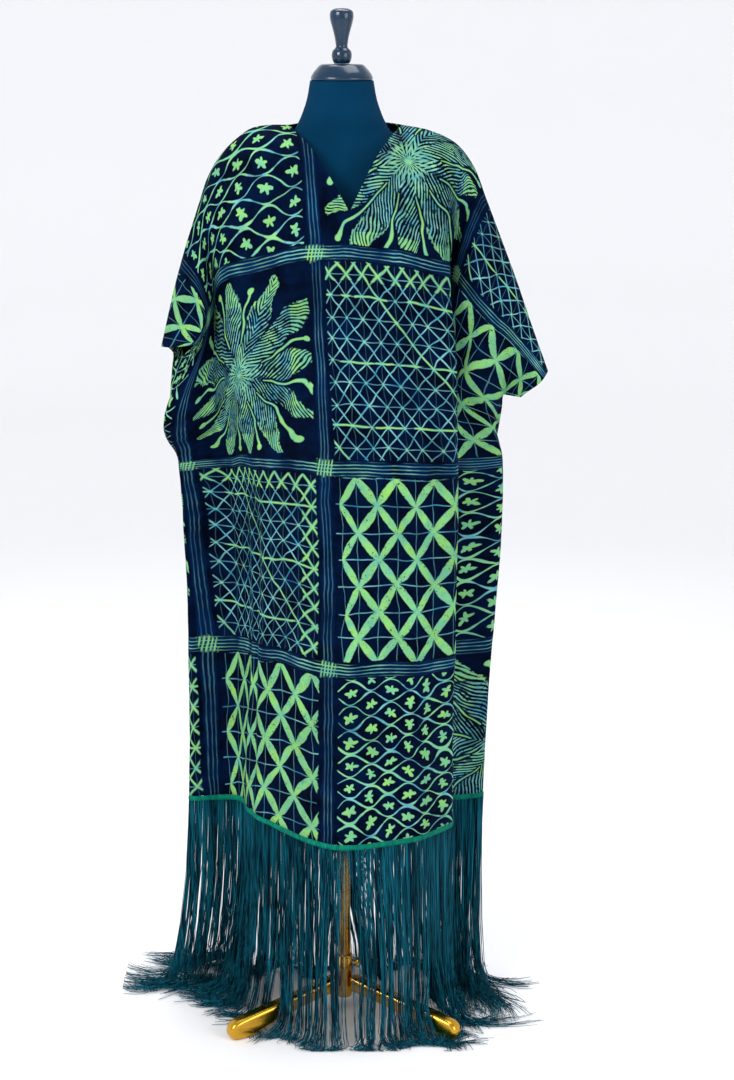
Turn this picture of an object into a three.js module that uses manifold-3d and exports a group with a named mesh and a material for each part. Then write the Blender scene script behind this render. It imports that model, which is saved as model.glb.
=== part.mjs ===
// Kaftan on a limbless dress form with a brass tripod stand.
// Millimetres, +Z up, the front looks towards -Y, +X is the viewer's right.
// The cloth is cut flat in two panels. On each panel s runs across the cloth from the
// middle and t runs down it from the shoulder line, and the sections below say where
// the cloth of each s lies at a few lines of t.
import * as THREE from 'three';
import { mergeVertices } from 'three/addons/utils/BufferGeometryUtils.js';
import Module from 'manifold-3d';

const wasm = await Module();
wasm.setup();

// ---- driving sizes -------------------------------------------------------------------
const POLE_AXIS = { x: 29, y: -38 };     // the pole stands here, the origin is under the middle
const WALL = 2;                         // printed cotton with its turned edges
const SEAM_GAP = 0.4;                   // parting between two sewn panels
const BODY_HALF = 460;                  // side seams, measured on the flat cloth
const CUFF_HALF = 540;                  // sleeve openings, measured on the flat cloth
const SLOPE_START = 210;                // the sleeve seam begins to slope here
const SLEEVE_SLOPE = { left: 150, right: 200 };   // how far the seam has dropped at the cuff
const NECK = { s: 5, half: 95, frontDepth: 158, backDepth: 16 };
const CHEST_T = 220;
const UNDERARM_T = 330;
const WAIST_T = 555;
const SHOULDER_ROUND = { out: 0.85, level: 0.65 };   // how the cloth rounds over at the upper seam
const SKIRT_NARROWING = 0.022;          // half way from waist to hem

const HEADING = { height: 9, gap: 0.4 };
const STRAND = { front: 44, back: 38, radius: 2.4, sides: 3, rootDepth: 4, floorGap: 3 };

const TRIPOD = { reach: 229, width: 25, hubRadius: 14.5, hubTop: 108, soleBack: 185 };
const POLE = { radius: 11, bottom: 40, top: 922 };
const FORM_BOTTOM = 930;

const rows = (columns, ...values) => values.map((row) =>
  Object.fromEntries(columns.split(' ').map((column, i) => [column, row[i]])));

// ---- sections of the cloth -----------------------------------------------------------
const SIDE_LEFT = { under: [-286, 24, 1094], waist: [-262, 92, 965], hem: [-252, 118, 373] };
const SIDE_RIGHT = { under: [266, 32, 1094], waist: [256, 108, 970], hem: [230, 124, 374] };
const CUFF_LEFT = [-281, 26, 1147];
const CUFF_RIGHT = [292, 4, 1094];
const HEM_SIDE_T = 1138;
const HEM_MIDDLE_T = 1195;

// Corner stations end a seam: the curve may turn there, so that both panels share the seam.
const SHOULDER = (...middle) => rows('s x y z corner',
  [-540, -297, 5, 1178],
  [-430, -270, 5, 1287],
  [-294, -229, 4, 1416],
  [-260, -218, 4, 1448],
  [-215, -195, 4, 1487],
  [-177, -168, 3, 1514],
  [-148, -144, 2, 1530],
  [-118, -114, 1, 1535],
  [-90, -86, 0, 1535, true],
  ...middle,
  [100, 97, 0, 1535, true],
  [145, 141, 2, 1526],
  [196, 187, 3, 1502],
  [231, 210, 4, 1472],
  [283, 233, 4, 1416],
  [342, 258, 5, 1352],
  [403, 283, 5, 1287],
  [462, 306, 4, 1222],
  [540, 337, 3, 1138]);

const FRONT = {
  side: -1,
  neckDepth: NECK.frontDepth,
  shoulder: SHOULDER([-45, -42, -34, 1534], [5, 5, -48, 1528], [55, 52, -34, 1534]),
  chest: rows('s x y z',
    [-540, -240, -46, 1188],
    [-482, -230, -54, 1198],
    [-440, -222, -52, 1211],
    [-400, -215, -42, 1228],
    [-343, -208, -20, 1254],
    [-290, -205, -9, 1282],
    [-250, -194, -36, 1299],
    [-160, -128, -96, 1325],
    [-60, -40, -129, 1345],
    [40, 45, -136, 1343],
    [140, 130, -101, 1325],
    [190, 170, -56, 1310],
    [235, 172, -10, 1302],
    [280, 184, -18, 1300],
    [360, 227, -36, 1250],
    [450, 281, -26, 1195],
    [540, 330, -22, 1132]),
  underarm: rows('s x y z corner',
    [-540, ...CUFF_LEFT],
    [-460, ...SIDE_LEFT.under, true],
    [-435, -288, 6, 1080],
    [-400, -258, -8, 1090],
    [-343, -217, -6, 1128],
    [-290, -202, -14, 1163],
    [-250, -184, -44, 1186],
    [-160, -118, -100, 1212],
    [-60, -36, -138, 1235],
    [40, 48, -139, 1232],
    [140, 140, -106, 1215],
    [182, 181, -64, 1202],
    [235, 160, -14, 1195],
    [290, 166, -12, 1182],
    [350, 188, -20, 1160],
    [409, 208, -20, 1134],
    [438, 247, -4, 1112],
    [460, ...SIDE_RIGHT.under, true],
    [540, ...CUFF_RIGHT]),
  waist: rows('s x y z',
    [-460, ...SIDE_LEFT.waist],
    [-425, -278, 64, 966],
    [-340, -193, 56, 975],
    [-270, -164, 18, 985],
    [-205, -141, -30, 990],
    [-130, -88, -86, 1000],
    [-60, -27, -136, 1004],
    [40, 70, -131, 1000],
    [120, 142, -112, 995],
    [165, 185, -80, 990],
    [215, 168, -38, 985],
    [270, 158, -4, 980],
    [330, 172, 34, 975],
    [380, 206, 52, 972],
    [425, 269, 76, 972],
    [460, ...SIDE_RIGHT.waist]),
  hem: rows('s x y z t',
    [-460, ...SIDE_LEFT.hem, HEM_SIDE_T],
    [-425, -273, 86, 372, 1140],
    [-340, -186, 76, 373, 1150],
    [-270, -168, 26, 374, 1165],
    [-205, -150, -20, 375, 1178],
    [-130, -92, -80, 370, 1190],
    [-60, -25, -133, 366, HEM_MIDDLE_T],
    [40, 75, -123, 366, HEM_MIDDLE_T],
    [120, 147, -78, 366, 1190],
    [165, 187, -28, 366, 1185],
    [215, 166, 10, 368, 1175],
    [270, 150, 38, 370, 1165],
    [330, 166, 66, 372, 1155],
    [380, 198, 80, 373, 1145],
    [425, 245, 96, 374, 1140],
    [460, ...SIDE_RIGHT.hem, HEM_SIDE_T]),
};

const BACK = {
  side: 1,
  neckDepth: NECK.backDepth,
  shoulder: SHOULDER([-45, -42, 50, 1544], [5, 5, 66, 1549], [55, 52, 50, 1544]),
  chest: rows('s x y z',
    [-540, -284, 76, 1158],
    [-460, -268, 84, 1198],
    [-380, -242, 80, 1255],
    [-300, -212, 74, 1300],
    [-200, -150, 94, 1325],
    [-90, -72, 110, 1333],
    [5, 3, 108, 1336],
    [100, 80, 110, 1333],
    [200, 152, 94, 1325],
    [300, 216, 72, 1295],
    [380, 256, 58, 1250],
    [460, 293, 40, 1195],
    [540, 331, 32, 1131]),
  underarm: rows('s x y z corner',
    [-540, ...CUFF_LEFT],
    [-460, ...SIDE_LEFT.under, true],
    [-380, -251, 94, 1130],
    [-280, -180, 112, 1190],
    [-190, -128, 104, 1210],
    [-90, -66, 124, 1220],
    [5, 3, 110, 1224],
    [100, 72, 126, 1220],
    [190, 130, 104, 1210],
    [290, 196, 108, 1185],
    [380, 246, 78, 1140],
    [460, ...SIDE_RIGHT.under, true],
    [540, ...CUFF_RIGHT]),
  waist: rows('s x y z',
    [-460, ...SIDE_LEFT.waist],
    [-400, -232, 134, 970],
    [-330, -178, 152, 978],
    [-245, -142, 106, 985],
    [-165, -92, 150, 990],
    [-75, -46, 106, 994],
    [5, 4, 150, 995],
    [90, 50, 108, 994],
    [180, 98, 154, 990],
    [260, 148, 112, 984],
    [335, 186, 152, 978],
    [405, 235, 130, 972],
    [460, ...SIDE_RIGHT.waist]),
  hem: rows('s x y z t',
    [-460, ...SIDE_LEFT.hem, HEM_SIDE_T],
    [-400, -226, 150, 373, 1142],
    [-330, -172, 170, 373, 1150],
    [-245, -138, 112, 374, 1160],
    [-165, -88, 168, 372, 1168],
    [-75, -46, 108, 372, 1172],
    [5, 4, 166, 371, 1174],
    [90, 50, 110, 372, 1172],
    [180, 94, 170, 372, 1168],
    [260, 142, 114, 374, 1160],
    [335, 176, 168, 374, 1150],
    [405, 214, 148, 374, 1142],
    [460, ...SIDE_RIGHT.hem, HEM_SIDE_T]),
};

// Columns of the grid (values of s) and rows (steps between two sections).
const COLUMNS = [-540, -511, -482, -460, -440, -420, -400, -370, -343, -316, -290, -270, -250, -228,
  -205, -180, -155, -130, -108, -90, -60, -30, 5, 40, 70, 100, 120, 140, 158, 172, 190, 212, 235,
  258, 280, 305, 330, 355, 380, 400, 420, 440, 460, 485, 512, 540];
const STEPS = { chest: 7, underarm: 3, waist: 4, hem: 4 };

// ---- curves through the sections -----------------------------------------------------
const clamp = (value, low, high) => Math.min(high, Math.max(low, value));

// Cubic through two knots with the slopes of their neighbours, for uneven knots.
function hermite(a, b, slopeA, slopeB, span, f) {
  const f2 = f * f;
  const f3 = f2 * f;
  return (2 * f3 - 3 * f2 + 1) * a + (f3 - 2 * f2 + f) * span * slopeA
    + (3 * f2 - 2 * f3) * b + (f3 - f2) * span * slopeB;
}

function knotSlope(before, here, after, spanBefore, spanAfter) {
  const first = (here - before) / spanBefore;
  const second = (after - here) / spanAfter;
  return (first * spanAfter + second * spanBefore) / (spanBefore + spanAfter);
}

// Value of one column of a section at s. A corner station has a slope of its own on each side.
function sectionValue(section, column, s) {
  const last = section.length - 1;
  let i = 0;
  while (i < last - 1 && s > section[i + 1].s) i += 1;
  const chord = (k) => (section[k + 1][column] - section[k][column]) / (section[k + 1].s - section[k].s);
  const slopeAt = (k) => {
    if (k === 0 || k === last || section[k].corner) return chord(i);
    return knotSlope(section[k - 1][column], section[k][column], section[k + 1][column],
      section[k].s - section[k - 1].s, section[k + 1].s - section[k].s);
  };
  const span = section[i + 1].s - section[i].s;
  return hermite(section[i][column], section[i + 1][column], slopeAt(i), slopeAt(i + 1), span,
    (s - section[i].s) / span);
}

const sectionPoint = (section, s) => new THREE.Vector3(
  sectionValue(section, 'x', s), sectionValue(section, 'y', s), sectionValue(section, 'z', s));

// The sleeve seam drops away from the shoulder line towards the cuff.
function seamDrop(s) {
  const slope = s < 0 ? SLEEVE_SLOPE.left : SLEEVE_SLOPE.right;
  return slope * Math.max(0, Math.abs(s) - SLOPE_START) / (CUFF_HALF - SLOPE_START);
}

// Upper edge of a panel: the neckline in the middle, the shoulder and sleeve seam beside it.
function upperEdge(panel, s) {
  const across = Math.abs(s - NECK.s) / NECK.half;
  if (across >= 1) return seamDrop(s);
  return panel.side < 0 ? panel.neckDepth * (1 - across) : panel.neckDepth * (1 - across * across);
}

// Where the cloth of a panel lies: knots down one column, then a curve through them, which
// slows down at a knot where the column turns back on itself.
function columnKnots(panel, s) {
  const knots = [
    { t: seamDrop(s), p: sectionPoint(panel.shoulder, s) },
    { t: CHEST_T, p: sectionPoint(panel.chest, s) },
    { t: UNDERARM_T, p: sectionPoint(panel.underarm, s), corner: Math.abs(s) >= BODY_HALF },
  ];
  if (Math.abs(s) <= BODY_HALF) {
    knots.push({ t: WAIST_T, p: sectionPoint(panel.waist, s) });
    knots.push({ t: sectionValue(panel.hem, 't', s), p: sectionPoint(panel.hem, s) });
  }
  return knots;
}

function columnPoint(panel, knots, t) {
  const last = knots.length - 1;
  let i = 0;
  while (i < last - 1 && t > knots[i + 1].t) i += 1;
  const chord = (k) => knots[k + 1].p.clone().sub(knots[k].p).divideScalar(knots[k + 1].t - knots[k].t);
  const slopeAt = (k) => {
    if (k === last || knots[k].corner) return chord(i);
    if (k === 0) {
      const slope = chord(0);
      slope.y += panel.side * SHOULDER_ROUND.out * slope.length();
      slope.z *= 1 - SHOULDER_ROUND.level;
      return slope;
    }
    const [before, after] = [chord(k - 1), chord(k)];
    const [spanBefore, spanAfter] = [knots[k].t - knots[k - 1].t, knots[k + 1].t - knots[k].t];
    const straight = before.clone().normalize().dot(after.clone().normalize());
    return before.clone().multiplyScalar(spanAfter).addScaledVector(after, spanBefore)
      .multiplyScalar(Math.min(1, 0.8 + straight / 2) / (spanBefore + spanAfter));
  };
  const span = knots[i + 1].t - knots[i].t;
  const [slopeA, slopeB] = [slopeAt(i), slopeAt(i + 1)];
  const along = (axis) => hermite(knots[i].p[axis], knots[i + 1].p[axis], slopeA[axis], slopeB[axis],
    span, (t - knots[i].t) / span);
  const down = (t - WAIST_T) / (knots[last].t - WAIST_T);
  const narrowing = t > WAIST_T ? SKIRT_NARROWING * Math.sin(Math.PI * down) : 0;
  return new THREE.Vector3(along('x') * (1 - narrowing), along('y'), along('z'));
}

// ---- panels as walls -----------------------------------------------------------------
// Grid of outer points, with null where a panel has no cloth.
function panelGrid(panel) {
  return COLUMNS.map((s) => {
    const knots = columnKnots(panel, s);
    const top = upperEdge(panel, s);
    const stops = [top, CHEST_T, UNDERARM_T, WAIST_T, knots.at(-1).t];
    const points = [];
    Object.values(STEPS).forEach((count, k) => {
      for (let j = k === 0 ? 0 : 1; j <= count; j += 1) {
        const t = stops[k] + (stops[k + 1] - stops[k]) * j / count;
        const inSleeve = Math.abs(s) > BODY_HALF;
        points.push(inSleeve && k > 1 ? null : columnPoint(panel, knots, t));
      }
    });
    return points;
  });
}

// Normals that point out of the garment, averaged over the cells around each point.
function gridNormals(grid, side) {
  return grid.map((column, i) => column.map((point, j) => {
    if (!point) return null;
    const at = (a, b) => grid[a]?.[b] ?? null;
    const left = at(i - 1, j) ?? point;
    const right = at(i + 1, j) ?? point;
    const up = at(i, j - 1) ?? point;
    const down = at(i, j + 1) ?? point;
    const across = right.clone().sub(left);
    const along = down.clone().sub(up);
    return along.cross(across).multiplyScalar(side < 0 ? 1 : -1).normalize();
  }));
}

const ROW_UNDERARM = STEPS.chest + STEPS.underarm;
const isSeam = (panel, s, j) => {
  if (j === 0) return Math.abs(s - NECK.s) >= NECK.half;
  if (Math.abs(s) > BODY_HALF) return j === ROW_UNDERARM;
  return Math.abs(s) === BODY_HALF && j >= ROW_UNDERARM;
};

// A closed wall through a grid of outer and inner points, for the cells that have cloth.
function wallGeometry(outer, inner, flip) {
  const positions = [];
  const index = new Map();
  const vertex = (key, point) => {
    if (!index.has(key)) {
      index.set(key, positions.length / 3);
      positions.push(point.x, point.y, point.z);
    }
    return index.get(key);
  };
  const faces = [];
  const edges = new Map();
  const quad = (a, b, c, d) => faces.push(a, b, c, a, c, d);
  for (let i = 0; i + 1 < outer.length; i += 1) {
    for (let j = 0; j + 1 < outer[i].length; j += 1) {
      const corners = [[i, j], [i, j + 1], [i + 1, j + 1], [i + 1, j]];
      if (corners.every(([a, b]) => outer[a][b])) {
        const out = corners.map(([a, b]) => vertex(`o${a},${b}`, outer[a][b]));
        const back = corners.map(([a, b]) => vertex(`i${a},${b}`, inner[a][b]));
        quad(...out);
        faces.push(back[0], back[2], back[1], back[0], back[3], back[2]);
        corners.forEach(([a, b], k) => {
          const [c, d] = corners[(k + 1) % 4];
          const reverse = `${c},${d}>${a},${b}`;
          if (edges.has(reverse)) edges.delete(reverse);
          else edges.set(`${a},${b}>${c},${d}`, [a, b, c, d]);
        });
      }
    }
  }
  edges.forEach(([a, b, c, d]) => quad(vertex(`o${c},${d}`), vertex(`o${a},${b}`),
    vertex(`i${a},${b}`), vertex(`i${c},${d}`)));
  if (flip) {
    for (let k = 0; k < faces.length; k += 3) {
      [faces[k + 1], faces[k + 2]] = [faces[k + 2], faces[k + 1]];
    }
  }
  const geometry = new THREE.BufferGeometry();
  geometry.setAttribute('position', new THREE.Float32BufferAttribute(positions, 3));
  geometry.setIndex(faces);
  return geometry;
}

// Direction from a seam point into its panel.
const SEAM_RIDGE = 0.4;                 // a pinched seam points away from both of its panels
function seamInward(grid, i, j) {
  const side = Math.abs(COLUMNS[i]) === BODY_HALF && j > ROW_UNDERARM;
  const inner = side ? grid[i - Math.sign(COLUMNS[i])][j] : grid[i][j + (j === 0 ? 1 : -1)];
  return inner.clone().sub(grid[i][j]).normalize();
}

// Both panels together, because they share the normals along their seams.
function cutPanels() {
  const panels = [FRONT, BACK];
  const grids = panels.map(panelGrid);
  const normals = grids.map((grid, k) => gridNormals(grid, panels[k].side));
  return panels.map((panel, k) => {
    const outer = grids[k].map((column) => column.map((point) => point && point.clone()));
    const inner = grids[k].map((column, i) => column.map((point, j) => {
      if (!point) return null;
      const normal = normals[k][i][j].clone();
      if (isSeam(panel, COLUMNS[i], j)) {
        const [own, across] = [seamInward(grids[k], i, j), seamInward(grids[1 - k], i, j)];
        normal.add(normals[1 - k][i][j]).addScaledVector(own, -SEAM_RIDGE)
          .addScaledVector(across, -SEAM_RIDGE).normalize();
        const step = own.clone().sub(across);
        step.addScaledVector(normal, -step.dot(normal)).setLength(SEAM_GAP / 2);
        outer[i][j].add(step);
      }
      return outer[i][j].clone().addScaledVector(normal, -WALL);
    }));
    return { panel, outer, inner, geometry: wallGeometry(outer, inner, panel.side > 0) };
  });
}

// ---- booleans ------------------------------------------------------------------------
function toSolid(geometry) {
  const bare = geometry.clone();
  bare.deleteAttribute('normal');
  bare.deleteAttribute('uv');
  const merged = mergeVertices(bare, 1e-3);
  return new wasm.Manifold(new wasm.Mesh({
    numProp: 3,
    vertProperties: new Float32Array(merged.attributes.position.array),
    triVerts: new Uint32Array(merged.index.array),
  }));
}

function toGeometry(solid) {
  const mesh = solid.getMesh();
  const geometry = new THREE.BufferGeometry();
  geometry.setAttribute('position', new THREE.Float32BufferAttribute(mesh.vertProperties, 3));
  geometry.setIndex(Array.from(mesh.triVerts));
  return geometry;
}

// ---- fringe --------------------------------------------------------------------------
// The heading hangs just below the hem, so it is made from the hem's own edge.
function headingGeometry(cut) {
  const bottom = cut.outer[0].length - 1;
  const topEdge = [];
  cut.outer.forEach((column, i) => {
    if (column[bottom]) {
      topEdge.push({ outer: column[bottom].clone(), inner: cut.inner[i][bottom].clone() });
    }
  });
  const drop = (point, depth) => point.clone().setZ(point.z - depth);
  const outer = topEdge.map((edge) => [drop(edge.outer, HEADING.gap), drop(edge.outer, HEADING.height)]);
  const inner = topEdge.map((edge) => [drop(edge.inner, HEADING.gap), drop(edge.inner, HEADING.height)]);
  return wallGeometry(outer, inner, cut.panel.side > 0);
}

// How far strands run along the floor and lean sideways, by the x of their root.
const FLOOR_RUN = rows('s run lean',
  [-273, 115, -14],
  [-215, 84, -9],
  [-130, 44, -4],
  [0, 14, 0],
  [130, 24, 1],
  [200, 46, -8],
  [245, 68, -16]);

// Legs stand in the way of a few strands, which hang on either side of them.
function pushOffLegs(point) {
  const zone = 62;
  const clear = TRIPOD.width / 2 + STRAND.radius + 3.5;
  legAngles().forEach((angle) => {
    const dir = new THREE.Vector2(Math.cos(angle), Math.sin(angle));
    const along = point.x * dir.x + point.y * dir.y;
    const off = -point.x * dir.y + point.y * dir.x;
    if (along > 0 && Math.abs(off) < zone) {
      const moved = Math.sign(off || 1) * (clear + Math.abs(off) * (zone - clear) / zone) - off;
      point.x += -dir.y * moved;
      point.y += dir.x * moved;
    }
  });
  return point;
}

const legAngles = () => [-150, -30, 90].map((degrees) => degrees * Math.PI / 180);

// One strand: a thin three-sided bar from its root to its tip, along a few points.
function strandGeometry(path, out) {
  const corners = [];
  path.forEach((point, k) => {
    const ahead = path[Math.min(k + 1, path.length - 1)];
    const behind = path[Math.max(k - 1, 0)];
    const tangent = ahead.clone().sub(behind).normalize();
    const sideways = new THREE.Vector3(-out.y, out.x, 0);
    const third = tangent.clone().cross(sideways).normalize();
    for (let c = 0; c < STRAND.sides; c += 1) {
      const turn = 2 * Math.PI * c / STRAND.sides;
      corners.push(point.clone()
        .addScaledVector(sideways, STRAND.radius * Math.cos(turn))
        .addScaledVector(third, STRAND.radius * Math.sin(turn)));
    }
  });
  const faces = [];
  const n = STRAND.sides;
  for (let k = 0; k + 1 < path.length; k += 1) {
    for (let c = 0; c < n; c += 1) {
      const a = k * n + c;
      const b = k * n + (c + 1) % n;
      faces.push(a, b, b + n, a, b + n, a + n);
    }
  }
  const end = (path.length - 1) * n;
  faces.push(2, 1, 0, end, end + 1, end + 2);
  const geometry = new THREE.BufferGeometry().setFromPoints(corners);
  geometry.setIndex(faces);
  return geometry;
}

function fringeGeometry(cut, count) {
  const bottom = cut.outer[0].length - 1;
  const hemPoint = (s) => {
    let i = COLUMNS.findIndex((column) => column > s) - 1;
    i = clamp(i, COLUMNS.indexOf(-BODY_HALF), COLUMNS.indexOf(BODY_HALF) - 1);
    const f = (s - COLUMNS[i]) / (COLUMNS[i + 1] - COLUMNS[i]);
    const middle = (k) => cut.outer[k][bottom].clone().add(cut.inner[k][bottom]).multiplyScalar(0.5);
    return middle(i).lerp(middle(i + 1), f);
  };
  const margin = 11;
  const low = STRAND.radius + STRAND.floorGap;
  let solid = toSolid(headingGeometry(cut));
  for (let k = 0; k < count; k += 1) {
    const s = -BODY_HALF + margin + (2 * BODY_HALF - 2 * margin) * k / (count - 1);
    const root = hemPoint(s);
    const wave = Math.sin(k * 1.9) * 0.5 + Math.sin(k * 0.77) * 0.5;
    const hidden = cut.panel.side < 0 && s > 190 && s < 360;
    const place = (column) => sectionValue(FLOOR_RUN, column, clamp(root.x, -273, 245));
    const run = hidden ? 5 : place('run');
    const out = new THREE.Vector3(root.x, root.y * 0.55, 0).normalize();
    const under = root.z - HEADING.height;
    const at = (z, outward) => pushOffLegs(new THREE.Vector3(
      root.x + place('lean') + out.x * outward, root.y + out.y * outward, z));
    const path = [root.clone().setZ(under + STRAND.rootDepth), root.clone().setZ(under - 70),
      at(120, run * 0.16 + 2 * wave), at(low + 18 + 3 * wave, run * 0.46), at(low, run)];
    solid = solid.add(toSolid(strandGeometry(path, out)));
  }
  return toGeometry(solid.setTolerance(0.02));
}

// ---- dress form ----------------------------------------------------------------------
// Sections of the torso: half width, front and back depth, and how square the section is.
const TORSO = rows('z half front back square',
  [FORM_BOTTOM, 124, 82, 92, 2.1],
  [970, 130, 86, 92, 2.1],
  [1040, 122, 82, 82, 2.1],
  [1110, 112, 80, 72, 2.1],
  [1180, 122, 94, 76, 2.1],
  [1240, 138, 116, 84, 2.2],
  [1300, 148, 121, 90, 2.2],
  [1360, 156, 108, 92, 2.1],
  [1410, 164, 92, 88, 1.9],
  [1450, 171, 80, 76, 1.7],
  [1480, 168, 70, 66, 1.5],
  [1500, 142, 63, 61, 1.45],
  [1514, 104, 60, 60, 1.5],
  [1525, 77, 58, 60, 1.8],
  [1534, 72, 59, 60, 1.9],
  [1546, 66, 60, 60, 2],
  [1574, 56, 55, 55, 2],
  [1604, 50.5, 50.5, 50.5, 2]);
const TORSO_SIDES = 32;

function torsoGeometry() {
  const positions = [];
  TORSO.forEach((row) => {
    for (let k = 0; k < TORSO_SIDES; k += 1) {
      const angle = 2 * Math.PI * k / TORSO_SIDES;
      const round = (value) => Math.sign(value) * Math.abs(value) ** (2 / row.square);
      const depth = Math.sin(angle) < 0 ? row.front : row.back;
      positions.push(row.half * round(Math.cos(angle)), depth * round(Math.sin(angle)), row.z);
    }
  });
  const faces = [];
  const last = TORSO.length - 1;
  for (let j = 0; j < last; j += 1) {
    for (let k = 0; k < TORSO_SIDES; k += 1) {
      const a = j * TORSO_SIDES + k;
      const b = j * TORSO_SIDES + (k + 1) % TORSO_SIDES;
      faces.push(a, b, b + TORSO_SIDES, a, b + TORSO_SIDES, a + TORSO_SIDES);
    }
  }
  const bottomCentre = positions.length / 3;
  positions.push(0, 0, TORSO[0].z, 0, 0, TORSO[last].z);
  for (let k = 0; k < TORSO_SIDES; k += 1) {
    const next = (k + 1) % TORSO_SIDES;
    faces.push(bottomCentre, next, k);
    faces.push(bottomCentre + 1, last * TORSO_SIDES + k, last * TORSO_SIDES + next);
  }
  const geometry = new THREE.BufferGeometry();
  geometry.setAttribute('position', new THREE.Float32BufferAttribute(positions, 3));
  geometry.setIndex(faces);
  return geometry;
}

// A turned piece: a profile of radius and height, spun about the upright axis.
function turned(profile, segments) {
  const points = profile.map((row) => new THREE.Vector2(row.r, row.z));
  return new THREE.LatheGeometry(points, segments).rotateX(Math.PI / 2);
}

const DISC_PROFILE = rows('r z',
  [0, 912],
  [60, 912],
  [96, 920],
  [100, 929.6],
  [0, 929.6]);

const CAP_PROFILE = rows('r z',
  [0, 1604.4],
  [48, 1604.4],
  [49.5, 1607],
  [48.5, 1611],
  [45, 1617],
  [40, 1623],
  [35, 1628],
  [31, 1630],
  [0, 1630]);

const FINIAL_PROFILE = rows('r z',
  [0, 1630.4],
  [11, 1630.4],
  [14.5, 1635],
  [16, 1643],
  [14.5, 1650],
  [9.8, 1655],
  [9.6, 1660],
  [11, 1670],
  [14.2, 1683],
  [18.2, 1697],
  [18.6, 1705],
  [17.4, 1712],
  [10, 1715.4],
  [0, 1716]);

// ---- stand ---------------------------------------------------------------------------
const HUB_PROFILE = rows('r z',
  [0, 30],
  [12, 30],
  [TRIPOD.hubRadius, 36],
  [TRIPOD.hubRadius, TRIPOD.hubTop - 2],
  [TRIPOD.hubRadius - 1.2, TRIPOD.hubTop],
  [POLE.radius + 0.4, TRIPOD.hubTop],
  [POLE.radius + 0.4, POLE.bottom - 0.4],
  [0, POLE.bottom - 0.4]);

const SCREW_PROFILE = rows('r z',
  [0, 0],
  [4, 0],
  [4, 5],
  [9, 6],
  [10, 9],
  [9, 13],
  [0, 14]);

// Side view of a leg: flat sole at the foot, arched underside, top line falling from the hub.
function legGeometry() {
  const inner = TRIPOD.hubRadius + 0.6;
  const bevel = 5;
  const outline = new THREE.Shape();
  outline.moveTo(TRIPOD.soleBack, 0);
  outline.lineTo(TRIPOD.reach - 16, 0);
  outline.bezierCurveTo(TRIPOD.reach + 3, 0, TRIPOD.reach + 4, 26, TRIPOD.reach - 14, 33);
  outline.bezierCurveTo(TRIPOD.reach - 40, 42, inner + 60, 58, inner, 74);
  outline.lineTo(inner, 44);
  outline.bezierCurveTo(inner + 60, 38, TRIPOD.soleBack - 50, 20, TRIPOD.soleBack, 0);
  const geometry = new THREE.ExtrudeGeometry(outline, {
    depth: TRIPOD.width - 2 * bevel,
    curveSegments: 5,
    bevelEnabled: true,
    bevelThickness: bevel,
    bevelSize: bevel,
    bevelOffset: -bevel,
    bevelSegments: 2,
  });
  geometry.translate(0, 0, -(TRIPOD.width / 2 - bevel));
  return geometry.rotateX(Math.PI / 2);
}

// ---- materials and scene -------------------------------------------------------------
const finish = (color, roughness, metalness) =>
  new THREE.MeshStandardMaterial({ color, roughness, metalness });
const printedCotton = finish(0x0c2038, 0.8, 0);
const fringeYarn = finish(0x1c4c5d, 0.6, 0);
const jersey = finish(0x083957, 0.9, 0);
const lacquer = finish(0x04141f, 0.25, 0);
const brass = finish(0xd5a72a, 0.25, 1);

const kaftan = new THREE.Group();
kaftan.position.set(POLE_AXIS.x, POLE_AXIS.y, 0);

function addPiece(name, geometry, material) {
  const mesh = new THREE.Mesh(geometry, material);
  mesh.name = name;
  kaftan.add(mesh);
  return mesh;
}

const [front, back] = cutPanels();
addPiece('kaftan_front', front.geometry, printedCotton);
addPiece('kaftan_back', back.geometry, printedCotton);
addPiece('fringe_front', fringeGeometry(front, STRAND.front), fringeYarn);
addPiece('fringe_back', fringeGeometry(back, STRAND.back), fringeYarn);
addPiece('form_torso', torsoGeometry(), jersey);
addPiece('form_bottom_disc', turned(DISC_PROFILE, 28), lacquer);
addPiece('neck_cap', turned(CAP_PROFILE, 28), lacquer);
addPiece('finial', turned(FINIAL_PROFILE, 16), lacquer);
const pole = addPiece('pole', new THREE.CylinderGeometry(POLE.radius, POLE.radius,
  Math.min(POLE.top, DISC_PROFILE[0].z - 0.4) - POLE.bottom, 20).rotateX(Math.PI / 2), brass);
pole.position.z = (Math.min(POLE.top, DISC_PROFILE[0].z - 0.4) + POLE.bottom) / 2;
addPiece('hub_socket', turned(HUB_PROFILE, 18), brass);
const screw = addPiece('hub_screw', turned(SCREW_PROFILE, 12).rotateY(Math.PI / 2), brass);
screw.position.set(TRIPOD.hubRadius + 0.4, 0, 92);
legAngles().forEach((angle, k) => {
  const leg = addPiece(`leg_${['left', 'right', 'back'][k]}`, legGeometry(), brass);
  leg.rotation.z = angle;
});

export default kaftan;
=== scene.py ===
import math
import random

import bpy
import numpy as np
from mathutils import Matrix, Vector, noise


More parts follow.
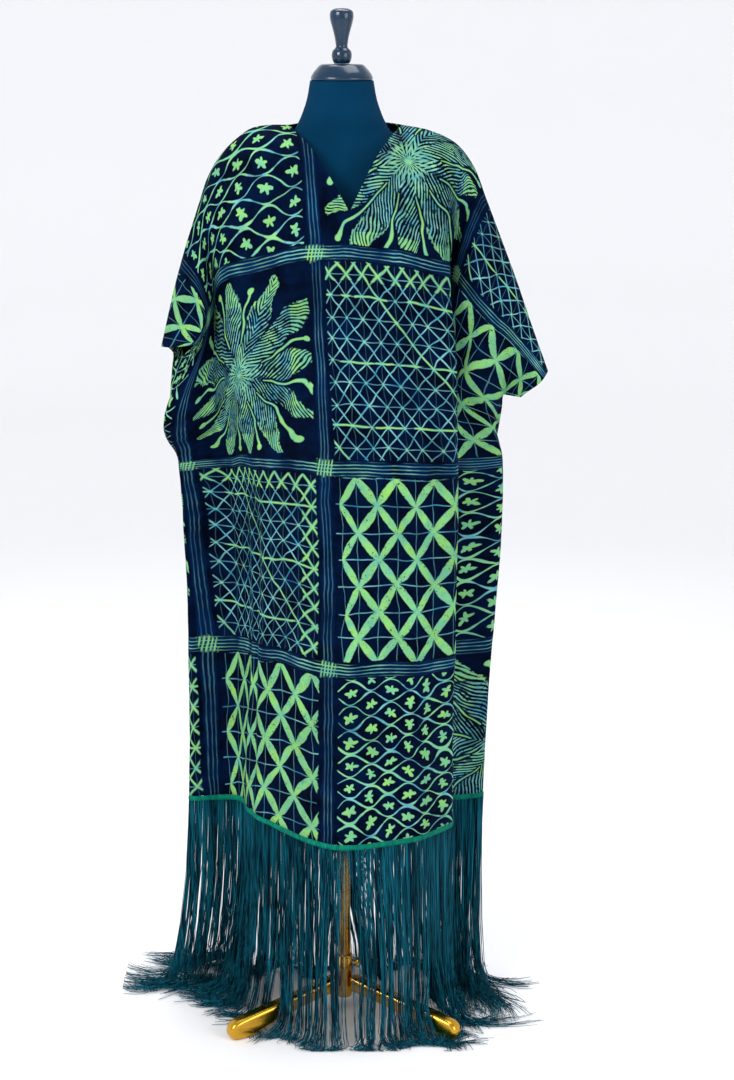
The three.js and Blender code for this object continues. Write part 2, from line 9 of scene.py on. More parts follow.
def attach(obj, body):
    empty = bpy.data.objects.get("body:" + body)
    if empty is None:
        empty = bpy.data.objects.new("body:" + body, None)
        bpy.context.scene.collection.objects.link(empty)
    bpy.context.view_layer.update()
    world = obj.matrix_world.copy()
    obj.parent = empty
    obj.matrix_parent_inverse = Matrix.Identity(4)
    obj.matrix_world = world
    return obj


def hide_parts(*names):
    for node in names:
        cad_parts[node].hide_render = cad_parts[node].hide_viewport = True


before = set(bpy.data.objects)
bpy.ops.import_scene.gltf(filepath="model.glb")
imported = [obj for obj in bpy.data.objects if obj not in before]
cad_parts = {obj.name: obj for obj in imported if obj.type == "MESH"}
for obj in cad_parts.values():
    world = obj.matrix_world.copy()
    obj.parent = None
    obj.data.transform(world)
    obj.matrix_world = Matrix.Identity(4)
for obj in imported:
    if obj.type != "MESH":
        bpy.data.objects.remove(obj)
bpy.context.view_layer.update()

MM = 0.001
POLE_AXIS = Vector((29.0, -38.0, 0.0))        # the pole's foot, which all mm count from
PIN_RADIUS = 0.05                             # the middle of a turned end
scene = bpy.context.scene

# ---- camera --------------------------------------------------------------------------
LENS = 71.87
PITCH_DOWN = math.radians(13.6)
camera_data = bpy.data.cameras.new("camera")
camera_data.lens = LENS
camera_data.sensor_width = 36
camera = bpy.data.objects.new("camera", camera_data)
camera.location = (0.069, -3.538, 1.700)
camera.rotation_euler = (math.pi / 2 - PITCH_DOWN, 0, 0)
scene.collection.objects.link(camera)
scene.camera = camera

# ---- sizes of the cut (mm) -------------------------------------------------------------
BODY_HALF = 460
CUFF_HALF = 540
SLOPE_START = 210
SLEEVE_SLOPE = {"left": 150, "right": 200}
NECK_S, NECK_HALF = 5, 95
CHEST_T, UNDERARM_T, WAIST_T = 220, 330, 555
HEM_SIDE_T, HEM_MIDDLE_T = 1138, 1195
SHOULDER_OUT, SHOULDER_LEVEL = 0.85, 0.65
SKIRT_NARROWING = 0.022
CLOTH_WALL = 1.6

UNDER_LEFT, UNDER_RIGHT = (-286, 24, 1094), (266, 32, 1094)
WAIST_LEFT, WAIST_RIGHT = (-262, 92, 965), (256, 108, 970)
HEM_LEFT, HEM_RIGHT = (-252, 118, 373), (230, 124, 374)
CUFF_LEFT, CUFF_RIGHT = (-281, 26, 1147), (292, 4, 1094)

# Upper seam, columns s x y z corner. A corner station lets the curve turn.
SHOULDER_LEFT = [
    (-540, -297, 5, 1178), (-430, -270, 5, 1287), (-294, -229, 4, 1416), (-260, -218, 4, 1448),
    (-215, -195, 4, 1487), (-177, -168, 3, 1514), (-148, -144, 2, 1530), (-118, -114, 1, 1535),
    (-90, -86, 0, 1535, True)]
SHOULDER_RIGHT = [
    (100, 97, 0, 1535, True), (145, 141, 2, 1526), (196, 187, 3, 1502), (231, 210, 4, 1472),
    (283, 233, 4, 1416), (342, 258, 5, 1352), (403, 283, 5, 1287), (462, 306, 4, 1222),
    (540, 337, 3, 1138)]

# Sections of a panel, columns s x y z (and t at the hem).
FRONT = {
    "side": -1,
    "neck_depth": 158,
    "shoulder": SHOULDER_LEFT + [(-45, -42, -34, 1534), (5, 5, -48, 1528),
                                 (55, 52, -34, 1534)] + SHOULDER_RIGHT,
    "chest": [
        (-540, -240, -46, 1188), (-482, -230, -54, 1198), (-440, -222, -52, 1211),
        (-400, -215, -42, 1228), (-343, -208, -20, 1254), (-290, -205, -9, 1282),
        (-250, -194, -36, 1299), (-160, -128, -96, 1325), (-60, -40, -129, 1345),
        (40, 45, -136, 1343), (140, 130, -101, 1325), (190, 170, -56, 1310),
        (235, 172, -10, 1302), (280, 184, -18, 1300), (360, 227, -36, 1250),
        (450, 281, -26, 1195), (540, 330, -22, 1132)],
    "underarm": [
        (-540, *CUFF_LEFT), (-460, *UNDER_LEFT, True), (-435, -288, 6, 1080),
        (-400, -258, -8, 1090), (-343, -217, -6, 1128), (-290, -202, -14, 1163),
        (-250, -184, -44, 1186), (-160, -118, -100, 1212), (-60, -36, -138, 1235),
        (40, 48, -139, 1232), (140, 140, -106, 1215), (182, 181, -64, 1202),
        (235, 160, -14, 1195), (290, 166, -12, 1182), (350, 188, -20, 1160),
        (409, 208, -20, 1134), (438, 247, -4, 1112), (460, *UNDER_RIGHT, True),
        (540, *CUFF_RIGHT)],
    "waist": [
        (-460, *WAIST_LEFT), (-425, -278, 64, 966), (-340, -193, 56, 975), (-270, -164, 18, 985),
        (-205, -141, -30, 990), (-130, -88, -86, 1000), (-60, -27, -136, 1004),
        (40, 70, -131, 1000), (120, 142, -112, 995), (165, 185, -80, 990), (215, 168, -38, 985),
        (270, 158, -4, 980), (330, 172, 34, 975), (380, 206, 52, 972), (425, 269, 76, 972),
        (460, *WAIST_RIGHT)],
    "hem": [
        (-460, *HEM_LEFT, HEM_SIDE_T), (-425, -273, 86, 372, 1140), (-340, -186, 76, 373, 1150),
        (-270, -168, 26, 374, 1165), (-205, -150, -20, 375, 1178), (-130, -92, -80, 370, 1190),
        (-60, -25, -133, 366, HEM_MIDDLE_T), (40, 75, -123, 366, HEM_MIDDLE_T),
        (120, 147, -78, 366, 1190), (165, 187, -28, 366, 1185), (215, 166, 10, 368, 1175),
        (270, 150, 38, 370, 1165), (330, 166, 66, 372, 1155), (380, 198, 80, 373, 1145),
        (425, 245, 96, 374, 1140), (460, *HEM_RIGHT, HEM_SIDE_T)],
}
BACK = {
    "side": 1,
    "neck_depth": 16,
    "shoulder": SHOULDER_LEFT + [(-45, -42, 50, 1544), (5, 5, 66, 1549),
                                 (55, 52, 50, 1544)] + SHOULDER_RIGHT,
    "chest": [
        (-540, -284, 76, 1158), (-460, -268, 84, 1198), (-380, -242, 80, 1255),
        (-300, -212, 74, 1300), (-200, -150, 94, 1325), (-90, -72, 110, 1333), (5, 3, 108, 1336),
        (100, 80, 110, 1333), (200, 152, 94, 1325), (300, 216, 72, 1295), (380, 256, 58, 1250),
        (460, 293, 40, 1195), (540, 331, 32, 1131)],
    "underarm": [
        (-540, *CUFF_LEFT), (-460, *UNDER_LEFT, True), (-380, -251, 94, 1130),
        (-280, -180, 112, 1190), (-190, -128, 104, 1210), (-90, -66, 124, 1220),
        (5, 3, 110, 1224), (100, 72, 126, 1220), (190, 130, 104, 1210), (290, 196, 108, 1185),
        (380, 246, 78, 1140), (460, *UNDER_RIGHT, True), (540, *CUFF_RIGHT)],
    "waist": [
        (-460, *WAIST_LEFT), (-400, -232, 134, 970), (-330, -178, 152, 978),
        (-245, -142, 106, 985), (-165, -92, 150, 990), (-75, -46, 106, 994), (5, 4, 150, 995),
        (90, 50, 108, 994), (180, 98, 154, 990), (260, 148, 112, 984), (335, 186, 152, 978),
        (405, 235, 130, 972), (460, *WAIST_RIGHT)],
    "hem": [
        (-460, *HEM_LEFT, HEM_SIDE_T), (-400, -226, 150, 373, 1142),
        (-330, -172, 170, 373, 1150), (-245, -138, 112, 374, 1160), (-165, -88, 168, 372, 1168),
        (-75, -46, 108, 372, 1172), (5, 4, 166, 371, 1174), (90, 50, 110, 372, 1172),
        (180, 94, 170, 372, 1168), (260, 142, 114, 374, 1160), (335, 176, 168, 374, 1150),
        (405, 214, 148, 374, 1142), (460, *HEM_RIGHT, HEM_SIDE_T)],
}

# Creases, columns s0 t0 s1 t1 width depth (mm, a ridge is negative).
CREASES = {
    "front": [
        (-235, 600, -232, 1160, 16, 5), (-262, 640, -255, 1150, 13, -5),
        (-150, 760, -165, 1185, 24, 4), (-100, 820, -95, 1190, 20, -3),
        (20, 700, 60, 1190, 30, 3), (90, 640, 95, 1190, 22, -4), (188, 420, 185, 1170, 10, -4),
        (205, 330, 208, 1160, 9, 6), (300, 520, 296, 1150, 14, 6), (345, 560, 352, 1140, 16, -6),
        (-380, 560, -372, 1135, 18, 6), (-330, 430, -318, 1100, 16, -5),
        (-190, 230, -300, 420, 14, -4), (-215, 330, -380, 470, 16, 5),
        (-170, 330, -290, 520, 20, -4), (-90, 60, -170, 330, 18, 4),
        (-60, 120, -120, 400, 20, -4), (100, 50, 150, 300, 16, 4), (70, 110, 110, 380, 18, -3),
        (160, 60, 190, 250, 14, -4), (-320, 60, -345, 200, 12, 3), (320, 90, 300, 260, 12, -4),
        (250, 100, 245, 330, 9, 7), (420, 190, 350, 330, 14, 4), (480, 250, 400, 330, 12, -4),
        (470, 180, 420, 300, 12, 3), (-100, 470, 120, 505, 26, 2), (-60, 540, 90, 600, 22, -2)],
    "back": [
        (-300, 300, -330, 1140, 18, -5), (-120, 260, -122, 1165, 20, -5),
        (50, 330, 45, 1165, 22, 5), (220, 280, 222, 1160, 18, -5), (330, 240, 380, 1130, 18, 5),
        (-420, 200, -300, 330, 14, 5), (430, 200, 320, 330, 14, 5), (-200, 60, -120, 300, 18, 4),
        (200, 60, 130, 300, 18, 4), (-60, 30, -20, 260, 16, -3)],
}


# ---- where the cloth lies --------------------------------------------------------------
def clip(value):
    return max(0.0, min(1.0, value))


def unit(vector):
    return vector / (np.linalg.norm(vector) or 1)


def hermite(a, b, slope_a, slope_b, span, f):
    """The value at f of the way along a span, between two values with their slopes."""
    f2, f3 = f * f, f * f * f
    return ((2 * f3 - 3 * f2 + 1) * a + (f3 - 2 * f2 + f) * span * slope_a
            + (3 * f2 - 2 * f3) * b + (f3 - f2) * span * slope_b)


def section_value(section, column, s):
    """Value of one column of a section at s."""
    last = len(section) - 1
    i = 0
    while i < last - 1 and s > section[i + 1][0]:
        i += 1

    def chord(k):
        return ((section[k + 1][column] - section[k][column])
                / (section[k + 1][0] - section[k][0]))

    def slope_at(k):
        if k in (0, last) or (len(section[k]) > 4 and section[k][4] is True):
            return chord(i)
        before, after = section[k][0] - section[k - 1][0], section[k + 1][0] - section[k][0]
        return (chord(k - 1) * after + chord(k) * before) / (before + after)

    span = section[i + 1][0] - section[i][0]
    return hermite(section[i][column], section[i + 1][column], slope_at(i), slope_at(i + 1),
                   span, (s - section[i][0]) / span)


def section_point(section, s):
    """Where a section lies at s (mm)."""
    return np.array([section_value(section, column, s) for column in (1, 2, 3)])


def seam_drop(s):
    """How far down the cut the shoulder and sleeve seam is at s."""
    slope = SLEEVE_SLOPE["left" if s < 0 else "right"]
    return slope * max(0.0, abs(s) - SLOPE_START) / (CUFF_HALF - SLOPE_START)


def upper_edge(panel, s):
    """How far down the cut a panel begins at s: at its seam or at the neck's edge."""
    across = abs(s - NECK_S) / NECK_HALF
    if across >= 1:
        return seam_drop(s)
    return panel["neck_depth"] * (1 - (across if panel["side"] < 0 else across * across))


def column_knots(panel, s):
    """Where the sections cross the column at s: how far down, the place, and if it is a corner."""
    knots = [(seam_drop(s), section_point(panel["shoulder"], s), False),
             (CHEST_T, section_point(panel["chest"], s), False),
             (UNDERARM_T, section_point(panel["underarm"], s), abs(s) >= BODY_HALF)]
    if abs(s) <= BODY_HALF:
        knots.append((WAIST_T, section_point(panel["waist"], s), False))
        knots.append((section_value(panel["hem"], 4, s), section_point(panel["hem"], s), False))
    return knots


def column_point(panel, knots, t):
    """The place at t on the curve through a column's knots."""
    last = len(knots) - 1
    i = 0
    while i < last - 1 and t > knots[i + 1][0]:
        i += 1

    def chord(k):
        return (knots[k + 1][1] - knots[k][1]) / (knots[k + 1][0] - knots[k][0])

    def slope_at(k):
        if k == last or knots[k][2]:
            return chord(i)
        if k == 0:
            slope = chord(0)
            slope[1] += panel["side"] * SHOULDER_OUT * np.linalg.norm(slope)
            slope[2] *= 1 - SHOULDER_LEVEL
            return slope
        before, after = chord(k - 1), chord(k)
        span_before = knots[k][0] - knots[k - 1][0]
        span_after = knots[k + 1][0] - knots[k][0]
        straight = before @ after / (np.linalg.norm(before) * np.linalg.norm(after))
        return ((before * span_after + after * span_before)
                * min(1, 0.8 + straight / 2) / (span_before + span_after))

    span = knots[i + 1][0] - knots[i][0]
    point = hermite(knots[i][1], knots[i + 1][1], slope_at(i), slope_at(i + 1), span,
                    (t - knots[i][0]) / span)
    if t > WAIST_T:
        down = (t - WAIST_T) / (knots[last][0] - WAIST_T)
        point[0] *= 1 - SKIRT_NARROWING * math.sin(math.pi * down)
    return point


# ---- cloth panels ------------------------------------------------------------------------
ROWS = (26, 16, 28, 72)        # steps from seam to chest, underarm, waist and hem


def spread(start, end, step):
    """Even steps of about one size from start, without the end."""
    count = max(1, round((end - start) / step))
    return [start + (end - start) * k / count for k in range(count)]


COLUMNS = (spread(-540, -460, 8) + spread(-460, -90, 8) + spread(-90, 5, 7) + spread(5, 100, 7)
           + spread(100, 460, 7.5) + spread(460, 540, 8) + [540])
RUMPLE_SEED = {"front": 3.1, "back": 17.4}
SEAM_FADE = 34           # creases fade out over this width before a seam


def crease_depth(side, s, t):
    """How far the creases and the soft rumple of worn cotton move the cloth inward."""
    depth = 0.0
    for s0, t0, s1, t1, width, deep in CREASES[side]:
        length2 = (s1 - s0) ** 2 + (t1 - t0) ** 2
        along = ((s - s0) * (s1 - s0) + (t - t0) * (t1 - t0)) / length2
        if not -0.1 < along < 1.1:
            continue
        bend = 6 * math.sin(along * 7 + s0)
        off = ((s - s0) * (t1 - t0) - (t - t0) * (s1 - s0)) / math.sqrt(length2) + bend
        fade = clip((along + 0.1) * 4) * clip((1.1 - along) * 5)
        depth += deep * fade * math.exp(-(off / width) ** 2)
    rumple = noise.noise(Vector((s / 70, t / 110, RUMPLE_SEED[side])))
    fine = noise.noise(Vector((s / 26, t / 38, RUMPLE_SEED[side] + 9)))
    return depth + 2.2 * rumple + 0.6 * fine


def seam_fade(s, t):
    """No crease at a seam, so that the two panels still meet there."""
    from_top = t - seam_drop(s) if abs(s - NECK_S) >= NECK_HALF else SEAM_FADE
    from_side = SEAM_FADE
    if abs(s) > BODY_HALF:
        from_side = UNDERARM_T - t
    elif t > UNDERARM_T:
        from_side = BODY_HALF - abs(s)
    return clip(min(from_top, from_side) / SEAM_FADE)


def lay_panel(panel):
    """Grid of points (mm) of a panel with its creases, and the s and t of each point."""
    side = "front" if panel["side"] < 0 else "back"
    points, cloth = [], []
    for s in COLUMNS:
        knots = column_knots(panel, s)
        stops = [upper_edge(panel, s), CHEST_T, UNDERARM_T, WAIST_T, knots[-1][0]]
        column, flat = [], []
        for k, count in enumerate(ROWS):
            for j in range(0 if k == 0 else 1, count + 1):
                t = stops[k] + (stops[k + 1] - stops[k]) * j / count
                if abs(s) > BODY_HALF and k > 1:
                    column.append(None)
                else:
                    column.append(column_point(panel, knots, t))
                flat.append((s, t))
        points.append(column)
        cloth.append(flat)
    creased = [list(column) for column in points]
    for i, column in enumerate(points):
        for j, point in enumerate(column):
            if point is None:
                continue

            def near(a, b):
                if 0 <= a < len(points) and 0 <= b < len(column) and points[a][b] is not None:
                    return points[a][b]
                return point

            across = near(i + 1, j) - near(i - 1, j)
            down = near(i, j + 1) - near(i, j - 1)
            normal = np.cross(down, across) * -panel["side"]
            size = np.linalg.norm(normal)
            if size > 1e-6:
                s, t = cloth[i][j]
                depth = crease_depth(side, s, t) * seam_fade(s, t)
                creased[i][j] = point - normal / size * depth
    return creased, cloth


def link_mesh(name, mesh):
    piece = bpy.data.objects.new(name, mesh)
    scene.collection.objects.link(piece)
    return piece


def skin_piece(name, vertices, faces):
    mesh = bpy.data.meshes.new(name)
    mesh.from_pydata(vertices, [], faces)
    return link_mesh(name, mesh)


def select_only(piece):
    bpy.ops.object.select_all(action="DESELECT")
    piece.select_set(True)
    bpy.context.view_layer.objects.active = piece


def apply_modifiers(piece):
    select_only(piece)
    for modifier in list(piece.modifiers):
        bpy.ops.object.modifier_apply(modifier=modifier.name)


def shade_smooth(piece, degrees=None):
    select_only(piece)
    if degrees is None:
        bpy.ops.object.shade_smooth()
    else:
        bpy.ops.object.shade_smooth_by_angle(angle=math.radians(degrees))


def to_metres(point):
    """A place in mm from the pole's foot, in the frame's metres."""
    return ((point[0] + POLE_AXIS.x) * MM, (point[1] + POLE_AXIS.y) * MM, point[2] * MM)


def set_on_pole(piece, place=(0, 0, 0), turn=(0, 0, 0)):
    """Turned, then set at a place from the pole's foot (mm), and both put into the mesh."""
    select_only(piece)
    piece.location = to_metres(place)
    piece.rotation_euler = turn
    bpy.ops.object.transform_apply(location=True, rotation=True, scale=True)


def cloth_piece(name, panel):
    """A panel's shell with its cut as UV map, its flat area in square metres, and its grid."""
    grid, cloth = lay_panel(panel)
    vertices, uvs, index, faces = [], [], {}, []
    for i, column in enumerate(grid):
        for j, point in enumerate(column):
            if point is not None:
                index[i, j] = len(vertices)
                vertices.append(to_metres(point))
                uvs.append((cloth[i][j][0] * MM, cloth[i][j][1] * MM))
    area = 0.0
    for i in range(len(grid) - 1):
        for j in range(len(grid[0]) - 1):
            corners = [(i, j), (i, j + 1), (i + 1, j + 1), (i + 1, j)]
            if all(corner in index for corner in corners):
                quad = [index[corner] for corner in corners]
                faces.append(quad if panel["side"] < 0 else quad[::-1])
                flat = [uvs[k] for k in quad]
                area += abs(sum(flat[k][0] * flat[(k + 1) % 4][1]
                                - flat[(k + 1) % 4][0] * flat[k][1] for k in range(4))) / 2
    piece = skin_piece(name, vertices, faces)
    layer = piece.data.uv_layers.new(name="cut")
    for loop in piece.data.loops:
        layer.data[loop.index].uv = uvs[loop.vertex_index]
    wall = piece.modifiers.new("wall", "SOLIDIFY")
    wall.thickness = CLOTH_WALL * MM
    wall.offset = -1
    apply_modifiers(piece)
    shade_smooth(piece)
    return piece, area, grid


front, front_area, front_grid = cloth_piece("kaftan_front_cloth", FRONT)
back, back_area, back_grid = cloth_piece("kaftan_back_cloth", BACK)


# ---- fringe ----------------------------------------------------------------------------
TRIPOD_HALF_WIDTH = 12.5
LEG_ANGLES = [math.radians(angle) for angle in (-150, -30, 90)]
# Columns x run lean: how far strands run on the floor, by the place of their root.
FLOOR_RUN = [(-273, 142, -14), (-190, 134, -9), (-130, 84, -4), (-60, 46, -1), (0, 36, 0),
             (110, 62, 1), (187, 132, -7), (245, 146, -17)]
HEADING_HEIGHT = 9.0
# Columns out down: the heading's section, around the cloth's edge.
HEADING_SECTION = [(0.2, 0.0), (0.2, -0.5), (0.9, -2.5), (0.9, -4.5), (0.7, -HEADING_HEIGHT),
                   (-1.6, -HEADING_HEIGHT), (-2.0, -4.5), (-1.7, -0.5)]
BUNCH, TUFT = 9.0, 24.0        # widths of hem whose strands close in, or lie alike on the floor
STRAND_RADIUS = (0.38, 0.74)
FLOOR_X, FLOOR_Y = (-400, 352), (-158, 232)        # the floor that strands may lie on
LEG_TOP = 110                                      # under this height strands clear the legs
PARTING_X, PARTING_HALF = 4, 120                   # the parting in front of the pole
SHORT_FROM, SHORT_TO = 190, 360                    # by the right fold the front hangs straight
BACKWARD_FROM, FORWARD_FROM = -190, 140            # left of this back, right of this forwards


def table_value(table, column, x):
    """A column's value at x, on straight lines between the rows."""
    xs = [row[0] for row in table]
    return float(np.interp(x, xs, [row[column] for row in table]))


def push_off_legs(x, y, clear):
    """Strands that would lie in a leg are moved to its sides."""
    zone, leg_end = 50, 240
    for angle in LEG_ANGLES:
        dx, dy = math.cos(angle), math.sin(angle)
        along, off = x * dx + y * dy, -x * dy + y * dx
        if 0 < along < leg_end and abs(off) < zone:
            moved = math.copysign(clear + abs(off) * (zone - clear) / zone, off or 1) - off
            x, y = x - dy * moved, y + dx * moved
    return x, y


def add_rings(vertices, faces, rings):
    """Closed skin through rings of equal count (mm), capped at both ends."""
    start, n = len(vertices), len(rings[0])
    vertices.extend(to_metres(point) for ring in rings for point in ring)
    for k in range(len(rings) - 1):
        for c in range(n):
            a, b = start + k * n + c, start + k * n + (c + 1) % n
            faces.append((a, b, b + n, a + n))
    end = start + (len(rings) - 1) * n
    faces.append(tuple(range(start + n - 1, start - 1, -1)))
    faces.append(tuple(range(end, end + n)))


def strand_rings(path, radius, sides=3):
    """Rings of a thin strand that narrows a little at its tip."""
    rings, last = [], len(path) - 1
    for k, point in enumerate(path):
        tangent = unit(np.array(path[min(k + 1, last)]) - np.array(path[max(k - 1, 0)]))
        sideways = np.array((-tangent[1], tangent[0], 0.0))
        if np.linalg.norm(sideways) < 0.15:
            sideways = np.array((1.0, 0.0, 0.0))
        sideways = unit(sideways)
        third = np.cross(tangent, sideways)
        slim = radius * (0.8 if k == last else 1)
        turns = [2 * math.pi * c / sides for c in range(sides)]
        rings.append([np.array(point) + sideways * slim * math.cos(turn)
                      + third * slim * math.sin(turn) for turn in turns])
    return rings


def turned(direction, angle):
    """A direction on the floor, turned."""
    x, y, _ = direction
    return np.array((x * math.cos(angle) - y * math.sin(angle),
                     x * math.sin(angle) + y * math.cos(angle), 0.0))


def fringe_piece(name, panel, grid, count, seed):
    """Woven heading under the hem, and thin strands that hang from it and trail on the floor."""
    draw = random.Random(seed)
    in_front = panel["side"] < 0
    hem = [np.array(column[-1]) for column in grid if column[-1] is not None]
    hem_s = [s for s, column in zip(COLUMNS, grid) if column[-1] is not None]
    inward = []
    for k in range(len(hem)):
        along = hem[min(k + 1, len(hem) - 1)] - hem[max(k - 1, 0)]
        inward.append(unit(np.array((-along[1], along[0], 0.0)) * -panel["side"]))

    vertices, faces = [], []
    add_rings(vertices, faces, [[point - inner * out + np.array((0, 0, drop - 0.4))
                                 for out, drop in HEADING_SECTION]
                                for point, inner in zip(hem, inward)])
    heading_faces = len(faces)

    for k in range(count):
        s = -BODY_HALF + 4 + (2 * BODY_HALF - 8) * (k + draw.uniform(-0.5, 0.5)) / (count - 1)
        s = min(max(s, hem_s[0] + 1), hem_s[-1] - 1)
        i = int(np.searchsorted(hem_s, s)) - 1
        f = (s - hem_s[i]) / (hem_s[i + 1] - hem_s[i])
        root = hem[i] * (1 - f) + hem[i + 1] * f
        root = root + inward[i] * draw.uniform(-0.6, 1.6) - np.array((0, 0, HEADING_HEIGHT - 1.5))
        along = unit(hem[i + 1] - hem[i])

        # Strands hang in bunches: those of one bunch close in on each other further down.
        bunch = round(s / BUNCH)
        keep = random.Random(bunch * 31 + seed)
        gather = keep.uniform(0.1, 0.7) * (BUNCH * bunch + keep.uniform(-5, 5) - s)
        sweep = noise.noise(Vector((s / 60, seed + 5, 0.1)))
        is_wild = draw.random() > 0.93
        run = table_value(FLOOR_RUN, 1, root[0]) * (0.5 + 0.45 * draw.random() + 0.4 * sweep)
        run *= keep.uniform(0.75, 1.15)
        lean = table_value(FLOOR_RUN, 2, root[0])
        if in_front and SHORT_FROM < s < SHORT_TO:
            run = 12 + 14 * draw.random()

        # Out from the pole, further back on the left, and forwards on the right.
        reach = (0.55 if in_front else 1.6) + (0.9 if root[0] < BACKWARD_FROM else 0.0)
        out = unit(np.array((root[0], root[1] * reach, 0.0)))
        forward = clip((root[0] - FORWARD_FROM) / 50)
        aim = (0.72, -0.69, 0.0) if in_front else (0.34, -0.94, 0.0)
        out = unit(out * (1 - forward) + np.array(aim) * forward)
        tuft = (s + 4 * noise.noise(Vector((s / 9, seed, 2.0)))) / TUFT
        tuft = random.Random(round(tuft) * 17 + seed)
        out = turned(out, tuft.uniform(-0.45, 0.45) + draw.uniform(-0.14, 0.14))
        across = np.array((-out[1], out[0], 0.0))
        sway = np.array((lean + keep.uniform(-3, 3) + draw.uniform(-1.5, 1.5),
                         keep.uniform(-4, 4) + draw.uniform(-2, 2), 0.0))
        if is_wild:
            sway[0] += draw.uniform(-14, 14)
            sway[1] += draw.uniform(-6, 10)

        # In front of the pole most strands bow to the sides, so that it shows between them.
        parting, bow = root[0] - PARTING_X, 0.0
        if in_front and abs(parting) < PARTING_HALF and draw.random() < 0.8:
            bow = (PARTING_HALF - abs(parting)) * (0.24 if parting > 0 else -0.10)
        floor = draw.uniform(1.6, 6.5)
        curl = across * (tuft.uniform(-0.6, 0.6) + draw.uniform(-0.15, 0.15))
        lift = draw.uniform(0.8, 1.6)
        wave, start = tuft.uniform(3.0, 12.0), tuft.uniform(0, 6) + draw.uniform(-0.3, 0.3)

        # Columns: share of the sway, share of the run on the floor, height.
        top = root[2]
        stations = [(0.0, 0.0, top), (0.12, 0.0, top * 0.86), (0.35, 0.01, top * 0.62),
                    (0.72, 0.06, top * 0.36), (1.0, 0.15, top * 0.15),
                    (1.0, 0.28, floor + 13 * lift), (1.0, 0.48, floor + 3 * lift),
                    (1.0, 0.66, floor), (1.0, 0.83, floor), (1.0, 1.0, floor)]
        path = []
        for share, outward, z in stations:
            bowed = np.array((bow * math.sin(min(1.0, share * 1.1) * 2.2), 0.0, 0.0))
            x, y, _ = (root + along * gather * min(1, share * 1.2) + sway * share + bowed
                       + (out + curl * outward) * run * outward
                       + across * wave * min(1.0, outward * 1.6) * math.sin(start + 7 * outward)
                       * (outward > 0.2))
            if z < LEG_TOP:
                x, y = push_off_legs(x, y, TRIPOD_HALF_WIDTH + 4)
            path.append((np.clip(x, *FLOOR_X), np.clip(y, *FLOOR_Y), z))
        add_rings(vertices, faces, strand_rings(path, draw.uniform(*STRAND_RADIUS)))

    piece = skin_piece(name, vertices, faces)
    for k, polygon in enumerate(piece.data.polygons):
        polygon.material_index = 0 if k < heading_faces else 1
    shade_smooth(piece)
    return piece


fringe_front = fringe_piece("fringe_front_yarn", FRONT, front_grid, 1750, 4)
fringe_back = fringe_piece("fringe_back_yarn", BACK, back_grid, 1500, 11)


# ---- dress form and stand --------------------------------------------------------------
# Columns z half front back square: half width, depths, and how square the section is.
TORSO = [
    (930, 124, 82, 92, 2.1), (970, 130, 86, 92, 2.1), (1040, 122, 82, 82, 2.1),
    (1110, 112, 80, 72, 2.1), (1180, 122, 94, 76, 2.1), (1240, 138, 116, 84, 2.2),
    (1300, 148, 121, 90, 2.2), (1360, 156, 108, 92, 2.1), (1410, 164, 92, 88, 1.9),
    (1450, 171, 80, 76, 1.7), (1480, 168, 70, 66, 1.5), (1500, 142, 63, 61, 1.45),
    (1514, 104, 60, 60, 1.5), (1525, 77, 58, 60, 1.8), (1534, 72, 59, 60, 1.9),
    (1546, 66, 60, 60, 2), (1574, 56, 55, 55, 2), (1604, 50.5, 50.5, 50.5, 2)]


def smooth_rows(table, step):
    """The same table with rows in between, on a curve through the given ones."""
    fine = []
    for k in range(len(table) - 1):
        before, here = table[max(k - 1, 0)], table[k]
        after, beyond = table[k + 1], table[min(k + 2, len(table) - 1)]
        span = after[0] - here[0]
        count = max(1, round(span / step))
        for j in range(count):
            f = j / count
            row = [here[0] + span * f]
            for c in range(1, len(here)):
                chord = (after[c] - here[c]) / span
                slope_a = chord if k == 0 else (after[c] - before[c]) / (after[0] - before[0])
                slope_b = (chord if beyond is after
                           else (beyond[c] - here[c]) / (beyond[0] - here[0]))
                row.append(hermite(here[c], after[c], slope_a, slope_b, span, f))
            fine.append(tuple(row))
    return fine + [tuple(table[-1])]


def torso_piece():
    """Padded body and neck: rounded sections from the waist up, with bust and shoulders."""
    rings, vertices, faces = [], [], []
    for z, half, front_depth, back_depth, square in smooth_rows(TORSO, 9):
        ring = []
        for k in range(96):
            angle = 2 * math.pi * k / 96
            across = math.copysign(abs(math.cos(angle)) ** (2 / square), math.cos(angle))
            deep = math.copysign(abs(math.sin(angle)) ** (2 / square), math.sin(angle))
            ring.append((half * across, (front_depth if deep < 0 else back_depth) * deep, z))
        rings.append(ring)
    add_rings(vertices, faces, rings)
    piece = skin_piece("form_torso_jersey", vertices, faces)
    shade_smooth(piece, 50)
    return piece


def finish_shape(name, inside=False):
    """Faces made to point one way, edit mode left, and points and faces put in a fixed order."""
    bpy.ops.mesh.select_all(action="SELECT")
    bpy.ops.mesh.normals_make_consistent(inside=inside)
    bpy.ops.object.mode_set(mode="OBJECT")
    piece = bpy.context.object
    piece.name = piece.data.name = name
    points = [tuple(vertex.co) for vertex in piece.data.vertices]
    order = sorted(range(len(points)), key=points.__getitem__)
    rank = {old: new for new, old in enumerate(order)}
    faces = []
    for polygon in piece.data.polygons:
        ring = [rank[k] for k in polygon.vertices]
        first = ring.index(min(ring))
        faces.append(ring[first:] + ring[:first])
    piece.data.clear_geometry()
    piece.data.from_pydata([points[k] for k in order], [], sorted(faces))
    return piece


